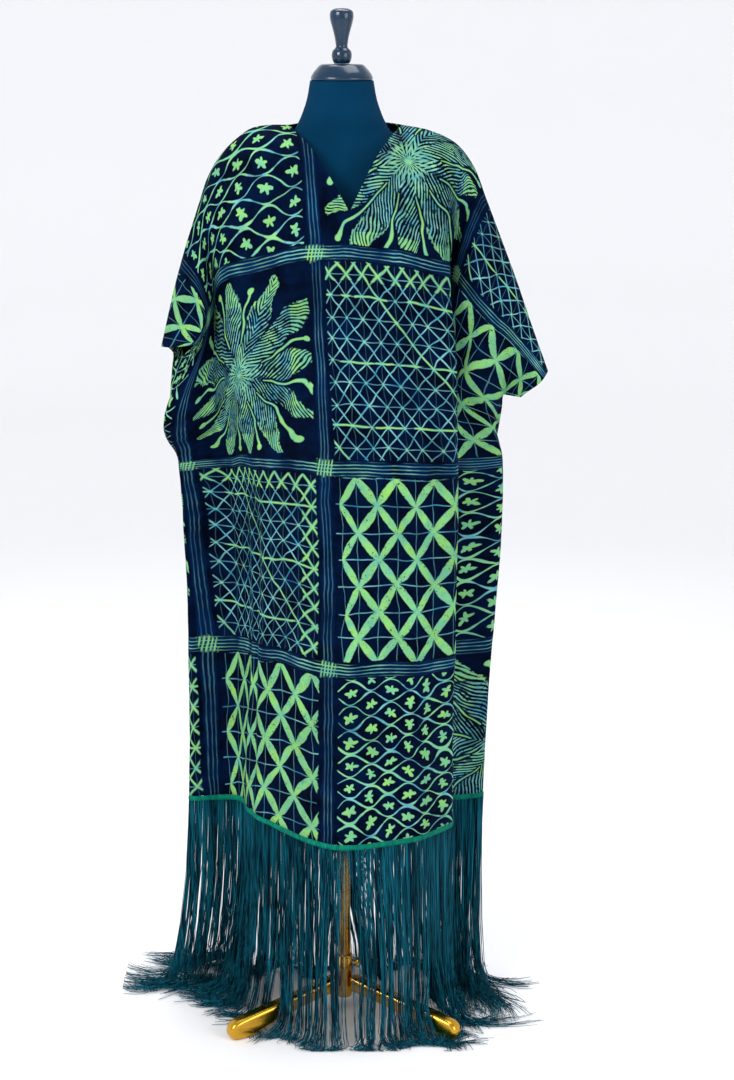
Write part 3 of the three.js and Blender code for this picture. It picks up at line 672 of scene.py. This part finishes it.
def round_edges(piece, width, segments, over):
    """Every edge sharper than an angle is bevelled (mm, degrees)."""
    bevel = piece.modifiers.new("rounding", "BEVEL")
    bevel.width = width * MM
    bevel.segments = segments
    bevel.limit_method = "ANGLE"
    bevel.angle_limit = math.radians(over)
    apply_modifiers(piece)


def draw_up(profile, segments):
    """A disc at the foot of a profile, extruded and scaled to each next radius and height."""
    radius, height = profile[0]
    bpy.ops.mesh.primitive_circle_add(vertices=segments, radius=radius * MM,
                                      fill_type="NGON", calc_uvs=False)
    bpy.ops.object.mode_set(mode="EDIT")
    bpy.ops.mesh.select_all(action="SELECT")
    bpy.ops.transform.translate(value=(0, 0, height * MM))
    for next_radius, next_height in profile[1:]:
        rise = (next_height - height) * MM
        bpy.ops.mesh.extrude_region_move(TRANSFORM_OT_translate={"value": (0, 0, rise)})
        wider = next_radius / radius
        bpy.ops.transform.resize(value=(wider, wider, 1), center_override=(0, 0, 0))
        radius, height = next_radius, next_height


def turned_piece(name, profile, segments=64, rounding=0.0):
    """A profile of radius and height turned about the pole."""
    draw_up([(max(radius, PIN_RADIUS), z) for radius, z in profile], segments)
    piece = finish_shape(name)
    set_on_pole(piece)
    if rounding:
        round_edges(piece, rounding, 2, 40)
    shade_smooth(piece, 45)
    return piece


def smooth_profile(profile, step=1.5):
    """Profile points on a curve through the given ones, by their length along it."""
    points = np.array(profile, float)
    lengths = np.concatenate(([0], np.cumsum(np.linalg.norm(np.diff(points, axis=0), axis=1))))
    rows = [(length, *point) for length, point in zip(lengths, points)]
    return [(row[1], row[2]) for row in smooth_rows(rows, step)]


torso = torso_piece()
disc = turned_piece("form_bottom_disc_lacquer",
                    [(0, 912), (60, 912), (94, 919), (100, 925), (100, 929.6), (0, 929.6)], 64, 1)
cap = turned_piece("neck_cap_lacquer", [(0, 1604.4), (48, 1604.4)] + smooth_profile([
    (48.6, 1605), (49.7, 1607.5), (48.6, 1611), (45, 1617), (40, 1623), (35, 1628),
    (31, 1629.6)]) + [(0, 1630)], 80)
finial = turned_piece("finial_lacquer", [(0, 1630.4), (11, 1630.4)] + smooth_profile([
    (12, 1630.8), (14.5, 1635), (16, 1643), (14.5, 1650), (10.4, 1654.4), (9.2, 1657), (9.6, 1661),
    (11, 1670), (14.2, 1683), (18.0, 1697), (18.8, 1705), (17.2, 1711.6), (10, 1715.3)])
    + [(0, 1716)], 64)
pole = turned_piece("pole_tube", [(0, 40), (11, 40), (11, 911.6), (0, 911.6)], 48, 0.6)
hub = turned_piece("hub_socket_tube", [(0, 30), (12, 30), (14.5, 36), (14.5, 80), (15.2, 82),
                                       (15.2, 100), (14.5, 102), (14.5, 106), (13.3, 108),
                                       (11.4, 108), (11.4, 104), (11.4, 39.6), (0, 39.6)], 48)


def screw_piece():
    """Clamp screw: shank and a knurled head with a rounded rim, lying along x."""
    corners, depth, knurled = 48, 0.35, 9.0
    profile = [(PIN_RADIUS, 0), (4, 0), (4, 5), (8.4, 5.6), (9.6, 7), (9.8, 9), (9.6, 11.5),
               (8.6, 13), (6, 13.8), (PIN_RADIUS, 14)]
    draw_up(profile, corners)
    piece = finish_shape("hub_screw_knob")
    # Every second corner of the rim is pressed in.
    for vertex in piece.data.vertices:
        radius = math.hypot(vertex.co.x, vertex.co.y) / MM
        corner = round(math.atan2(vertex.co.y, vertex.co.x) / (2 * math.pi) * corners)
        if radius > knurled and corner % 2:
            vertex.co.x *= 1 - depth / radius
            vertex.co.y *= 1 - depth / radius
    set_on_pole(piece, (14.9, 0, 92), (0, math.pi / 2, 0))
    shade_smooth(piece, 35)
    return piece


def leg_pieces():
    """Cast legs: an outline with a flat sole is drawn, given its width, its edges rounded, and
    copied to the three sides."""
    reach, sole_back, inner, half = 229, 185, 15.1, TRIPOD_HALF_WIDTH

    def bezier(a, b, c, d, count):
        return [tuple((1 - f) ** 3 * a[k] + 3 * (1 - f) ** 2 * f * b[k]
                      + 3 * (1 - f) * f * f * c[k] + f ** 3 * d[k] for k in (0, 1))
                for f in (j / count for j in range(1, count + 1))]

    outline = [(sole_back, 0), (reach - 16, 0)]
    outline += bezier(outline[-1], (reach + 3, 0), (reach + 4, 26), (reach - 14, 33), 12)
    outline += bezier(outline[-1], (reach - 40, 42), (inner + 60, 58), (inner, 74), 20)
    outline.append((inner, 44))
    outline += bezier(outline[-1], (inner + 60, 38), (sole_back - 50, 20), (sole_back, 0), 16)

    # The outline is drawn corner by corner, starting as the middle of a small plane.
    bpy.ops.mesh.primitive_plane_add(size=MM, calc_uvs=False)
    bpy.ops.object.mode_set(mode="EDIT")
    bpy.ops.mesh.select_all(action="SELECT")
    bpy.ops.mesh.merge(type="CENTER")
    here = Vector((0, 0, 0))
    for k, (along, z) in enumerate(outline):
        place = Vector((along, -half, z)) * MM
        move = {"value": place - here}
        if k:
            bpy.ops.mesh.extrude_region_move(TRANSFORM_OT_translate=move)
        else:
            bpy.ops.transform.translate(**move)
        here = place
    bpy.ops.mesh.select_all(action="SELECT")
    bpy.ops.mesh.remove_doubles(threshold=0.01 * MM)
    bpy.ops.mesh.edge_face_add()
    bpy.ops.mesh.extrude_region_move(TRANSFORM_OT_translate={"value": (0, 2 * half * MM, 0)})
    pattern = finish_shape("leg_pattern")
    round_edges(pattern, 9, 6, 50)
    legs = []
    for side, angle in zip(("left", "right", "back"), LEG_ANGLES):
        leg = link_mesh(f"leg_{side}_cast", pattern.data.copy())
        leg.data.name = leg.name
        set_on_pole(leg, turn=(0, 0, angle))
        shade_smooth(leg, 40)
        legs.append(leg)
    bpy.data.objects.remove(pattern)
    return legs


screw = screw_piece()
legs = leg_pieces()


# ---- shader helpers ----------------------------------------------------------------------
class Field:
    """A number over the surface. Each operation adds one Math node to its tree."""

    def __init__(self, tree, socket):
        self.tree, self.socket = tree, socket

    def math(self, operation, *others, clamp=False):
        node = self.tree.nodes.new("ShaderNodeMath")
        node.operation = operation
        node.use_clamp = clamp
        feed(node, (self, *others))
        return Field(self.tree, node.outputs[0])

    def __add__(self, other):
        return self.math("ADD", other)

    def __sub__(self, other):
        return self.math("SUBTRACT", other)

    def __mul__(self, other):
        return self.math("MULTIPLY", other)

    def __truediv__(self, other):
        return self.math("DIVIDE", other)

    def abs(self):
        return self.math("ABSOLUTE")

    def sin(self):
        return self.math("SINE")

    def cos(self):
        return self.math("COSINE")

    def sign(self):
        return self.math("SIGN")

    def root(self):
        return self.math("SQRT")

    def power(self, exponent):
        return self.math("POWER", exponent)

    def floor(self):
        return self.math("FLOOR")

    def rounded(self):
        return self.math("ROUND")

    def fraction(self):
        return self.math("FRACT")

    def max(self, other):
        return self.math("MAXIMUM", other)

    def min(self, other):
        return self.math("MINIMUM", other)

    def over(self, limit):
        """1 where the value is over limit, 0 elsewhere."""
        return self.math("GREATER_THAN", limit)

    def clipped(self, low=0.0):
        """Kept between low and 1."""
        return self.math("MAXIMUM", low, clamp=True)

    def rest(self):
        """What is left of 1."""
        return self * -1.0 + 1.0

    def wrapped(self, period):
        """Distance to the nearest multiple of period."""
        return ((self / period).fraction() - 0.5).abs().math("SUBTRACT", 0.5).abs() * period

    def below(self, limit, soft=0.8):
        """1 where the value is under limit, 0 over it, with a soft edge."""
        high = limit + soft
        gap = high - self if isinstance(high, Field) else self * -1.0 + high
        return gap.math("DIVIDE", 2 * soft, clamp=True)


def feed(node, values):
    """Links fields to a node's inputs in turn, and sets numbers on them."""
    for k, value in enumerate(values):
        if isinstance(value, Field):
            node.id_data.links.new(value.socket, node.inputs[k])
        else:
            node.inputs[k].default_value = value


def grain_over(x, y):
    """Smooth noise from -0.5 to 0.5 over two fields in mm, features of about scale mm."""
    def grain(scale, seed, detail=2.0, rough=0.5):
        join = x.tree.nodes.new("ShaderNodeCombineXYZ")
        feed(join, (x, y, seed))
        texture = x.tree.nodes.new("ShaderNodeTexNoise")
        texture.inputs["Scale"].default_value = 1.0 / scale
        texture.inputs["Detail"].default_value = detail
        texture.inputs["Roughness"].default_value = rough
        x.tree.links.new(join.outputs[0], texture.inputs["Vector"])
        return Field(x.tree, texture.outputs["Fac"]) - 0.5
    return grain


def chance(*keys):
    """A random number from 0 to 1 for each whole value of the keys."""
    tree = keys[0].tree
    join = tree.nodes.new("ShaderNodeCombineXYZ")
    feed(join, keys)
    white = tree.nodes.new("ShaderNodeTexWhiteNoise")
    white.noise_dimensions = "3D"
    tree.links.new(join.outputs[0], white.inputs["Vector"])
    return Field(tree, white.outputs["Value"])


def new_group(name, inputs, outputs):
    """A node group, its inputs as fields, and its output node."""
    group = bpy.data.node_groups.new(name, "ShaderNodeTree")
    for title in inputs:
        group.interface.new_socket(name=title, in_out="INPUT", socket_type="NodeSocketFloat")
    for title in outputs:
        group.interface.new_socket(name=title, in_out="OUTPUT", socket_type="NodeSocketFloat")
    start = group.nodes.new("NodeGroupInput")
    end = group.nodes.new("NodeGroupOutput")
    fields = [Field(group, start.outputs[title]) for title in inputs]
    return group, fields, end


def close_group(group, end, **results):
    for title, field in results.items():
        group.links.new(field.socket, end.inputs[title])
    return group


def use_group(tree, group, *inputs):
    """Fields of what a group puts out for these inputs."""
    node = tree.nodes.new("ShaderNodeGroup")
    node.node_tree = group
    feed(node, inputs)
    return [Field(tree, output) for output in node.outputs]


# ---- batik motifs ------------------------------------------------------------------------
# Each works in mm from the middle of its square and gives a mask of broad wax, which turns
# lime, and of thin wax, which turns teal.
SQUARE_S, SQUARE_T = 340.0, 335.0          # pitch of the squares across and down the cut
FIRST_S, FIRST_T = -400.0, 220.0           # where the check starts
PRINT_HALF = 153.0                         # half of a square's print, inside its bands


def lattice_motif():
    """Squares ruled across, with both diagonals, dots of wax where the lines meet."""
    group, (x, y), end = new_group("batik lattice", ["X", "Y"], ["Lime", "Teal"])
    grain = grain_over(x, y)
    wide, tall, edge_from = 29.0, 33.5, 124.0
    thick = grain(38, 2.0) * 2.4
    u = x + grain(55, 5.0) * 16
    v = y + grain(60, 1.0) * 12
    level, upright = v.wrapped(tall), u.wrapped(wide)
    slant = wide * tall / math.hypot(wide, tall)
    rise = (u / wide + v / tall).wrapped(1.0) * slant
    fall = (u / wide - v / tall).wrapped(1.0) * slant
    thin = (level.below(thick * 0.5 + 0.6, 0.6) * 0.8).max(upright.below(0.3, 0.6) * 0.3)
    thin = thin.max(rise.below(thick * 0.6 + 0.8, 0.6)).max(fall.below(thick * 0.6 + 0.95, 0.6))
    thin = thin * (grain(26, 6.6, detail=1.0) * 1.8 + 1.0).clipped(0.35)
    # A few of the lines are drawn again with more wax.
    bold = chance((v / tall).rounded(), 4.0).over(0.9) * grain(90, 6.0).over(-0.06)
    bold_fall = chance((u / wide - v / tall).rounded(), 9.0).over(0.72)
    streak = (level.below(1.5) * bold).max(fall.below(1.5) * bold_fall * 0.8)
    knots = (level * level + upright * upright).root().below(2.2, 1.0)
    # Towards the top and one side the diagonals are drawn with more wax.
    edge = x.over(edge_from).max((y * -1.0).over(edge_from))
    cross = rise.min(fall).below(1.9, 1.0) * edge
    lime = streak.max(cross * 0.9).max(knots * 0.5)
    return close_group(group, end, Lime=lime, Teal=thin.max(knots * 0.9))


def leaf_motif():
    """Petals along the diagonals of a ruled net, squeezed at its sides."""
    group, (x, y), end = new_group("batik leaf", ["X", "Y"], ["Lime", "Teal"])
    grain = grain_over(x, y)
    wide, tall, cells = 33.0, 44.4, 5.0
    u = (x + grain(60, 3.0) * 12 - 12.0) / wide
    v = (y + grain(60, 3.7) * 12 - 24.6) / tall
    # The outermost cells are squeezed between the net and the band.
    beyond = (u.abs() - 4.0).max(0.0)
    u = u + u.sign() * beyond * 0.35
    slant = wide * tall / math.hypot(wide, tall)
    width = grain(42, 6.0) * 5 + 7.4
    ragged = grain(7, 2.2) * 2.2

    def petals(along, off):
        bulge = (along * (math.pi / 2)).sin().abs().power(0.42)
        return (off.wrapped(2.0) * slant).below(bulge * width - 0.7 + ragged, 0.7)

    leaves = petals(u + v, u - v).max(petals(u - v, u + v)) * u.abs().below(cells, 0.03)
    level = (v.wrapped(1.0) * tall).below(0.8, 0.6) * (grain(50, 8.1) * 1.6 + 0.75).clipped(0.35)
    lines = ((u.wrapped(1.0) * wide).below(0.45, 0.6) * 0.6).max(level)
    crackle = grain(7, 4.0, detail=4.0, rough=0.75).abs().below(0.01, 0.02)
    worn = (crackle * 0.55).max(grain(4, 4.9).over(0.14) * 0.8)
    worn = worn * (grain(40, 4.4).over(0.02) * 0.7 + 0.3)
    return close_group(group, end, Lime=leaves * worn.rest(), Teal=lines)


def ogee_motif():
    """Waving lines that part and meet, a small lobed blot in each opening."""
    group, (x, y, wave), end = new_group("batik ogee", ["X", "Y", "Wave"], ["Lime", "Teal"])
    grain = grain_over(x, y)
    row, swing = 21.0, 9.5
    y2 = y + grain(90, 7.0) * 26 + x * 0.06
    x2 = x + grain(70, 7.6) * 16
    phase = (x2 / wave * (2 * math.pi)).cos()
    index = (y2 / row).rounded()
    width = grain(30, 9.0) * 7 + 1.3
    ragged = grain(6, 3.1) * 7

    def off_line(k):
        """Distance to the line that is k rows away."""
        line = index + float(k)
        return (y2 - line * row - (line * math.pi).cos() * phase * swing).abs()

    def blot(k):
        """The blots of every second opening."""
        middle = ((y2 / row).floor() + float(k) - 0.5).floor()
        odd = (middle * math.pi).cos() * -0.5 + 0.5
        shift = (odd * -0.5 + 0.5) * wave
        column = ((x2 - shift) / wave).rounded()
        bx = x2 - shift - column * wave
        by = y2 - (middle + 0.5) * row
        turn = by.math("ARCTAN2", bx) + chance(column, middle) * 6.28
        luck = chance(column, middle, 5.0)
        lobes = (turn * 5).sin() * 2.6 + (turn * 2 + luck * 6).sin() * 2.2 + luck * 1.6 + 6.6
        return (bx * bx + by * by).root().below(lobes + ragged, 0.8)

    waves = off_line(0).min(off_line(1)).min(off_line(-1)).below(width.max(0.5), 0.7)
    strong = grain(50, 1.9).over(-0.03)
    lime = blot(0).max(blot(1)).max(waves * (strong * 0.75 + 0.1))
    return close_group(group, end, Lime=lime, Teal=waves)


def sunburst_motif():
    """Plumes of slanting strokes that reach to the edge of the square, drops between them."""
    group, (x, y), end = new_group("batik sunburst", ["X", "Y"], ["Lime", "Teal"])
    grain = grain_over(x, y)
    rays = 12.0
    pitch = 2 * math.pi / rays
    radius = (x * x + y * y).root()
    angle = y.math("ARCTAN2", x) + grain(80, 1.5) * 0.45
    reach = radius / (x.abs().max(y.abs()).max(1.0)) * 150.0
    sector = angle * (1 / pitch) + 24.0
    index = sector.rounded()

    def ray_of(number):
        return ((number / rays).fraction() * rays).rounded()

    # A plume swells from the heart, is widest past the middle and closes in a point.
    ray = ray_of(index)
    off = (sector - index) * pitch * radius.min(150.0)
    luck = chance(ray, 2.0)
    tip = (reach * (luck * 0.12 + 0.92)).min(196.0)
    share = (radius / tip).min(1.0)
    ragged = grain(5, 4.2) * 10
    outline = (share * math.pi * 0.93).sin() * (luck * 7 + 16.5) + ragged + 1.0
    both = chance(ray, 5.0).over(0.82)
    side = off.abs() * both + off * both.rest() * (chance(ray, 8.0).over(0.5) * 2.0 - 1.0)
    ripple = grain(40, 3.3, detail=1.0) * 1.5
    stroke = (((radius * 0.50 - side * 0.87 + ripple) / 5.0).fraction() - 0.5).abs()
    lean = grain(12, 6.1) * 0.5
    inside = off.abs().below(outline, 1.2) * radius.below(tip)
    rim = (off.abs() - outline + 1.6).abs().below(0.8, 0.8) * share.over(0.6)
    rim = rim * radius.below(tip) * chance(ray, 3.0).over(0.3)
    ends = share.over(0.74) * inside * stroke.below(lean + 0.27, 0.1)

    # Between two plumes a waving stem ends in a round drop, on bare ground.
    half = sector + 0.5
    between = half.rounded()
    luck2 = chance(ray_of(between), 7.0)
    drawn, past_heart = luck2.over(0.06), radius.over(52.0)
    sway = (radius / 8.5 + luck2 * 6.0).sin() * 2.0 * (radius / 130).min(1.0)
    off2 = (half - between) * pitch * radius + sway
    stem_end = (reach * (luck2 * 0.12 + 0.86) - 6.0).min(170.0)
    thick = (radius / 62).power(1.3) + grain(14, 5.0) * 1.4
    stem = off2.abs().below(thick, 0.8) * radius.below(stem_end) * past_heart * drawn
    to_drop = radius - stem_end
    from_drop = (to_drop * to_drop + off2 * off2).root()
    drop = from_drop.below(luck2 * 1.6 + 5.0, 0.8) * drawn
    beside = off2.abs().below(thick + 3.4, 1.0) * radius.below(stem_end) * past_heart
    clear = (from_drop.below(10.0, 1.0).max(beside) * drawn).rest()

    spokes = (angle * 22.0 + grain(14, 9.0) * 3.0).sin().over(0.1) * radius.below(30.0, 6.0)
    heart = radius.below(grain(9, 8.8) * 12 + 5, 2.5)
    whole = grain(10, 5.7, detail=1.0).over(-0.13)
    plume = stroke.below(lean + 0.18, 0.09) * inside * clear * (whole * 0.85 + 0.15)
    lime = drop.max(stem).max(heart).max(rim * clear * 0.9).max(ends * clear * 0.9)
    lime = lime.max(plume * (grain(45, 2.6).over(0.03) * 0.5 + 0.12)).max(spokes * 0.6)
    faint = (grain(30, 7.3, detail=1.0) * 1.8 + 0.75).clipped(0.3)
    return close_group(group, end, Lime=lime, Teal=(plume * faint).max(spokes * 0.8))


def cloth_masks():
    """The whole cloth: squares parted by bands. Inputs are s and t in mm."""
    group, (s, t), end = new_group("batik cloth", ["S", "T"], ["Lime", "Teal", "Band", "Blot"])
    # The print wanders, and is pushed in at the lower left.
    low, outer = (t / 583.0 - 0.952).clipped(), (s / -80.0 - 3.75).clipped()
    s = s + grain_over(s, t)(90, 11.0) * 9 - low * outer * 26.0
    t = t + grain_over(s, t)(90, 12.0) * 9
    grain = grain_over(s, t)
    column = ((s - FIRST_S) / SQUARE_S).floor()
    row = ((t - FIRST_T) / SQUARE_T).floor()
    x = s - FIRST_S - (column + 0.5) * SQUARE_S
    y = t - FIRST_T - (row + 0.5) * SQUARE_T
    first_row = row.below(-0.5, 0.01)

    which = ((column + row + 9.0) / 4.0).fraction() * 4.0
    lime = teal = None
    for k, (motif, places) in enumerate([
            (ogee_motif(), (x, y, first_row * 26.0 + 66.0)),
            (sunburst_motif(), (x * 0.93, y - first_row * 24.0)),
            (lattice_motif(), (x, y)), (leaf_motif(), (x, y))]):
        here = (which - float(k)).abs().below(0.5, 0.01)
        broad, thin = (mask * here for mask in use_group(group, motif, *places))
        lime, teal = (lime + broad, teal + thin) if k else (broad, thin)
    inside = x.abs().max(y.abs()).below(grain(13, 13.0) * 9 + PRINT_HALF, 0.8)
    lime, teal = lime * inside, teal * inside

    # Bands between the squares, with fine lines along them.
    from_upright = x.abs() * -1.0 + SQUARE_S / 2
    from_level = y.abs() * -1.0 + SQUARE_T / 2
    side_x, side_y = x.sign() * from_upright, y.sign() * from_level
    swell, wob = grain(120, 17.0) * 7, grain(30, 14.0) * 4
    half_upright, half_level = swell + 10.0, swell + 10.5
    band = (from_upright.below(half_upright, 1.2) * 0.7).max(from_level.below(half_level, 1.2))
    upright_lines = (side_x + wob).wrapped(6.2).below(grain(40, 18.0) * 1.6 + 0.5, 0.9)
    upright_lines = upright_lines * from_upright.below(half_upright, 1.0)
    level_lines = (side_y + wob).wrapped(5.8).below(grain(36, 19.0) * 2.6 + 0.5, 0.8)
    level_lines = level_lines * from_level.below(half_level, 1.0)
    strength = (grain(80, 15.0, detail=1.0) * 2.6 + 0.5).clipped(0.12)
    near = (from_upright / -48.0 + 1.2).clipped()
    glow = (grain(55, 29.0, detail=1.0) * 2.4 + 0.35).clipped()

    # Where two bands cross, the wax is combed both ways.
    ragged = grain(11, 23.0) * 16
    crossing = from_upright.below(ragged + 13.0, 2.0) * from_level.below(ragged + 12.0, 2.0)
    comb = (side_x + side_y * 0.2 + wob).wrapped(5.6).below(1.2, 0.7)
    combed = crossing * comb.max(level_lines)
    lime = lime.max(combed * 0.95).max(level_lines * near * 0.8).max(level_lines * glow * 0.6)
    teal = teal.max(level_lines * (strength * 0.9 + 0.25).min(1.0))
    teal = teal.max(upright_lines * (glow * 0.3 + 0.2))
    blot = grain(34, 16.0, detail=4.0) + 0.5
    return close_group(group, end, Lime=lime, Teal=teal, Band=band, Blot=blot)


def srgb(red, green, blue):
    def linear(value):
        value /= 255
        return value / 12.92 if value <= 0.04045 else ((value + 0.055) / 1.055) ** 2.4
    return linear(red), linear(green), linear(blue), 1.0


def mix_colour(factor, first, second):
    """From the first colour at 0 to the second at 1."""
    node = factor.tree.nodes.new("ShaderNodeMix")
    node.data_type = "RGBA"
    factor.tree.links.new(factor.socket, node.inputs[0])
    for k, colour in ((6, first), (7, second)):
        if isinstance(colour, tuple):
            node.inputs[k].default_value = colour
        else:
            factor.tree.links.new(colour, node.inputs[k])
    return node.outputs[2]


def new_material(name):
    material = bpy.data.materials.new(name)
    material.use_nodes = True
    return material, material.node_tree


def surface_axes(tree, uv_map=None):
    """Fields of the place on the piece in mm: object coordinates, or its own UV map."""
    if uv_map:
        source = tree.nodes.new("ShaderNodeUVMap")
        source.uv_map = uv_map
    else:
        source = tree.nodes.new("ShaderNodeTexCoord")
    split = tree.nodes.new("ShaderNodeSeparateXYZ")
    tree.links.new(source.outputs["UV" if uv_map else "Object"], split.inputs[0])
    return [Field(tree, output) * 1000.0 for output in split.outputs]


def finish(tree, height, distance, **sockets):
    """Sets the shader: fields and colours are linked, numbers are set. Height is its relief."""
    shader = tree.nodes["Principled BSDF"]
    for title, value in sockets.items():
        socket = shader.inputs[title.replace("_", " ")]
        if isinstance(value, (int, float)):
            socket.default_value = value
        else:
            tree.links.new(getattr(value, "socket", value), socket)
    bump = tree.nodes.new("ShaderNodeBump")
    bump.inputs["Distance"].default_value = distance
    tree.links.new(height.socket, bump.inputs["Height"])
    tree.links.new(bump.outputs[0], shader.inputs["Normal"])


def weave_group():
    """Plain weave: height of crossing threads at a pitch in mm."""
    group, (u, v, pitch), end = new_group("plain weave", ["U", "V", "Pitch"], ["Height"])
    height = (u / pitch * math.pi).sin() * (v / pitch * math.pi).cos()
    return close_group(group, end, Height=height * 0.5 + 0.5)


def batik_cotton():
    material, tree = new_material("batik_cotton")
    s, t, _ = surface_axes(tree, "cut")
    grain = grain_over(s, t)
    lime, teal, band, blot = use_group(tree, cloth_masks(), s, t)
    ground = mix_colour((blot - 0.35).math("MULTIPLY", 2.2, clamp=True),
                        srgb(0, 4, 20), srgb(0, 20, 52))
    ground = mix_colour(band * (grain(60, 24.0) * 1.3 + 0.34).clipped(), ground, srgb(1, 38, 84))
    bleed = (grain(24, 21.0, detail=3.0) * 2.2 + 0.45).clipped()
    line = mix_colour(bleed, srgb(56, 140, 170), srgb(142, 206, 196))
    wax = mix_colour(bleed, srgb(98, 168, 140), srgb(134, 192, 88))
    dim = (grain(70, 22.0) * 1.5 + 0.85).clipped(0.25)
    colour = mix_colour((teal * dim).math("MULTIPLY", 0.9, clamp=True), ground, line)
    colour = mix_colour((lime * (dim * 0.4 + 0.6)).clipped(), colour, wax)
    weave = use_group(tree, weave_group(), s, t, 0.9)[0]
    finish(tree, weave * 0.12 + grain(18, 30.0, detail=3.0) * 2.4, 0.0011, Base_Color=colour,
           Roughness=0.78, Specular_IOR_Level=0.02)
    return material


def fringe_yarn():
    material, tree = new_material("fringe_yarn")
    x, y, z = surface_axes(tree)
    # Object coordinates, so that the tone hardly changes down a strand.
    grain = grain_over(x + z * 0.03, y + z * 0.02)
    tone = grain(9, 2.0) * 1.6 + 0.30 + grain(1.7, 8.0, detail=1.0) * 2.2
    finish(tree, ((z * 1.6 + x * 0.8) * 2.2).sin(), 0.0003,
           Base_Color=mix_colour(tone.clipped(), srgb(0, 30, 46), srgb(22, 128, 152)),
           Roughness=0.5, Specular_IOR_Level=0.06)
    return material


def woven_heading():
    material, tree = new_material("woven_heading")
    x, y, z = surface_axes(tree)
    tone = (grain_over(x, y)(7, 5.0) * 2.0 + 0.5).clipped()
    ribs = (x * 2.4 + y * 2.4).sin() * 0.5 + 0.5
    colour = mix_colour(tone, srgb(0, 92, 82), srgb(0, 134, 104))
    finish(tree, ribs, 0.0006, Base_Color=mix_colour(ribs * 0.35, colour, srgb(2, 50, 48)),
           Roughness=0.7, Specular_IOR_Level=0.06)
    return material


def form_jersey():
    material, tree = new_material("form_jersey")
    x, y, z = surface_axes(tree)
    tone = grain_over(x, z)(60, 1.0) + 0.5
    finish(tree, (x * 3.4).sin() * (z * 4.2).sin(), 0.00025,
           Base_Color=mix_colour(tone, srgb(0, 42, 70), srgb(1, 54, 84)),
           Roughness=0.9, Specular_IOR_Level=0.05)
    return material


def turned_lacquer():
    material, tree = new_material("black_blue_lacquer")
    x, y, z = surface_axes(tree)
    streaks = grain_over(x * 0.4 + y * 0.4, z * 3.0)(12, 2.0, detail=3.0) + 0.5
    finish(tree, streaks, 0.0002,
           Base_Color=mix_colour(streaks, srgb(0, 26, 48), srgb(2, 46, 72)),
           Roughness=streaks * 0.12 + 0.16, Specular_IOR_Level=0.3,
           Coat_Weight=0.35, Coat_Roughness=0.12)
    return material


def polished_brass():
    material, tree = new_material("polished_brass")
    x, y, z = surface_axes(tree)
    cloud = grain_over(x + y, z)(40, 3.0, detail=4.0) + 0.5
    scratch = grain_over(x * 2.0 + y * 2.0, z * 0.25)(1.6, 9.0)
    finish(tree, scratch, 0.0001,
           Base_Color=mix_colour(cloud, srgb(186, 134, 32), srgb(224, 176, 66)),
           Metallic=1.0, Roughness=cloud * 0.14 + 0.10)
    return material


# ---- which piece stands for which solid, and its finishes --------------------------------
cotton, lacquer, brass = batik_cotton(), turned_lacquer(), polished_brass()
yarns = [woven_heading(), fringe_yarn()]
for piece, node, slot, finishes in [
        (front, "kaftan_front", "printed_cotton", [cotton]),
        (back, "kaftan_back", "printed_cotton", [cotton]),
        (fringe_front, "fringe_front", "fringe_yarn", yarns),
        (fringe_back, "fringe_back", "fringe_yarn", yarns),
        (torso, "form_torso", "jersey", [form_jersey()]),
        (disc, "form_bottom_disc", "lacquer", [lacquer]),
        (cap, "neck_cap", "lacquer", [lacquer]),
        (finial, "finial", "lacquer", [lacquer]),
        (pole, "pole", "brass", [brass]),
        (hub, "hub_socket", "brass", [brass]),
        (screw, "hub_screw", "brass", [brass]),
        (legs[0], "leg_left", "brass", [brass]),
        (legs[1], "leg_right", "brass", [brass]),
        (legs[2], "leg_back", "brass", [brass])]:
    for material in finishes:
        piece.data.materials.append(material)
    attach(piece, "root")
    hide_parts(node)


# ---- floor, backdrop and light -----------------------------------------------------------
def backdrop():
    """Pale floor that sweeps up all the way round, wide enough for a camera on any side."""
    draw_up([(3600, 0), (4000, 20), (4800, 200), (5400, 600), (5800, 1300), (5900, 2600),
             (5900, 5000)], 48)
    bpy.ops.mesh.delete(type="ONLY_FACE")
    sweep = finish_shape("studio_sweep", inside=True)
    shade_smooth(sweep)
    material, tree = new_material("studio_paper")
    shader = tree.nodes["Principled BSDF"]
    shader.inputs["Base Color"].default_value = srgb(242, 242, 244)
    shader.inputs["Roughness"].default_value = 0.95
    shader.inputs["Specular IOR Level"].default_value = 0.05
    sweep.data.materials.append(material)


def area_light(name, place, target, size, power, colour=(1, 1, 1)):
    """A soft box at a place (m), turned to a target, with its size (m) and power (W)."""
    data = bpy.data.lights.new(name, "AREA")
    data.shape = "RECTANGLE"
    data.size, data.size_y = size
    data.energy = power
    data.color = colour
    light = bpy.data.objects.new(name, data)
    light.location = place
    light.rotation_euler = (Vector(target) - Vector(place)).to_track_quat("-Z", "Y").to_euler()
    scene.collection.objects.link(light)


backdrop()
area_light("key_softbox", (-2.4, -3.0, 3.0), (0, 0, 1.0), (1.8, 1.8), 130, (1.0, 0.99, 0.97))
area_light("fill_softbox", (2.8, -2.6, 1.8), (0, 0, 0.9), (2.0, 2.0), 55, (0.96, 0.98, 1.0))
area_light("top_softbox", (0.3, 0.6, 3.8), (0, 0.2, 0.5), (2.6, 1.6), 60)
scene.world = bpy.data.worlds.new("studio")
scene.world.use_nodes = True
daylight = scene.world.node_tree.nodes["Background"]
daylight.inputs["Color"].default_value = (0.96, 0.98, 1.0, 1)
daylight.inputs["Strength"].default_value = 0.7
scene.view_settings.view_transform = "Standard"
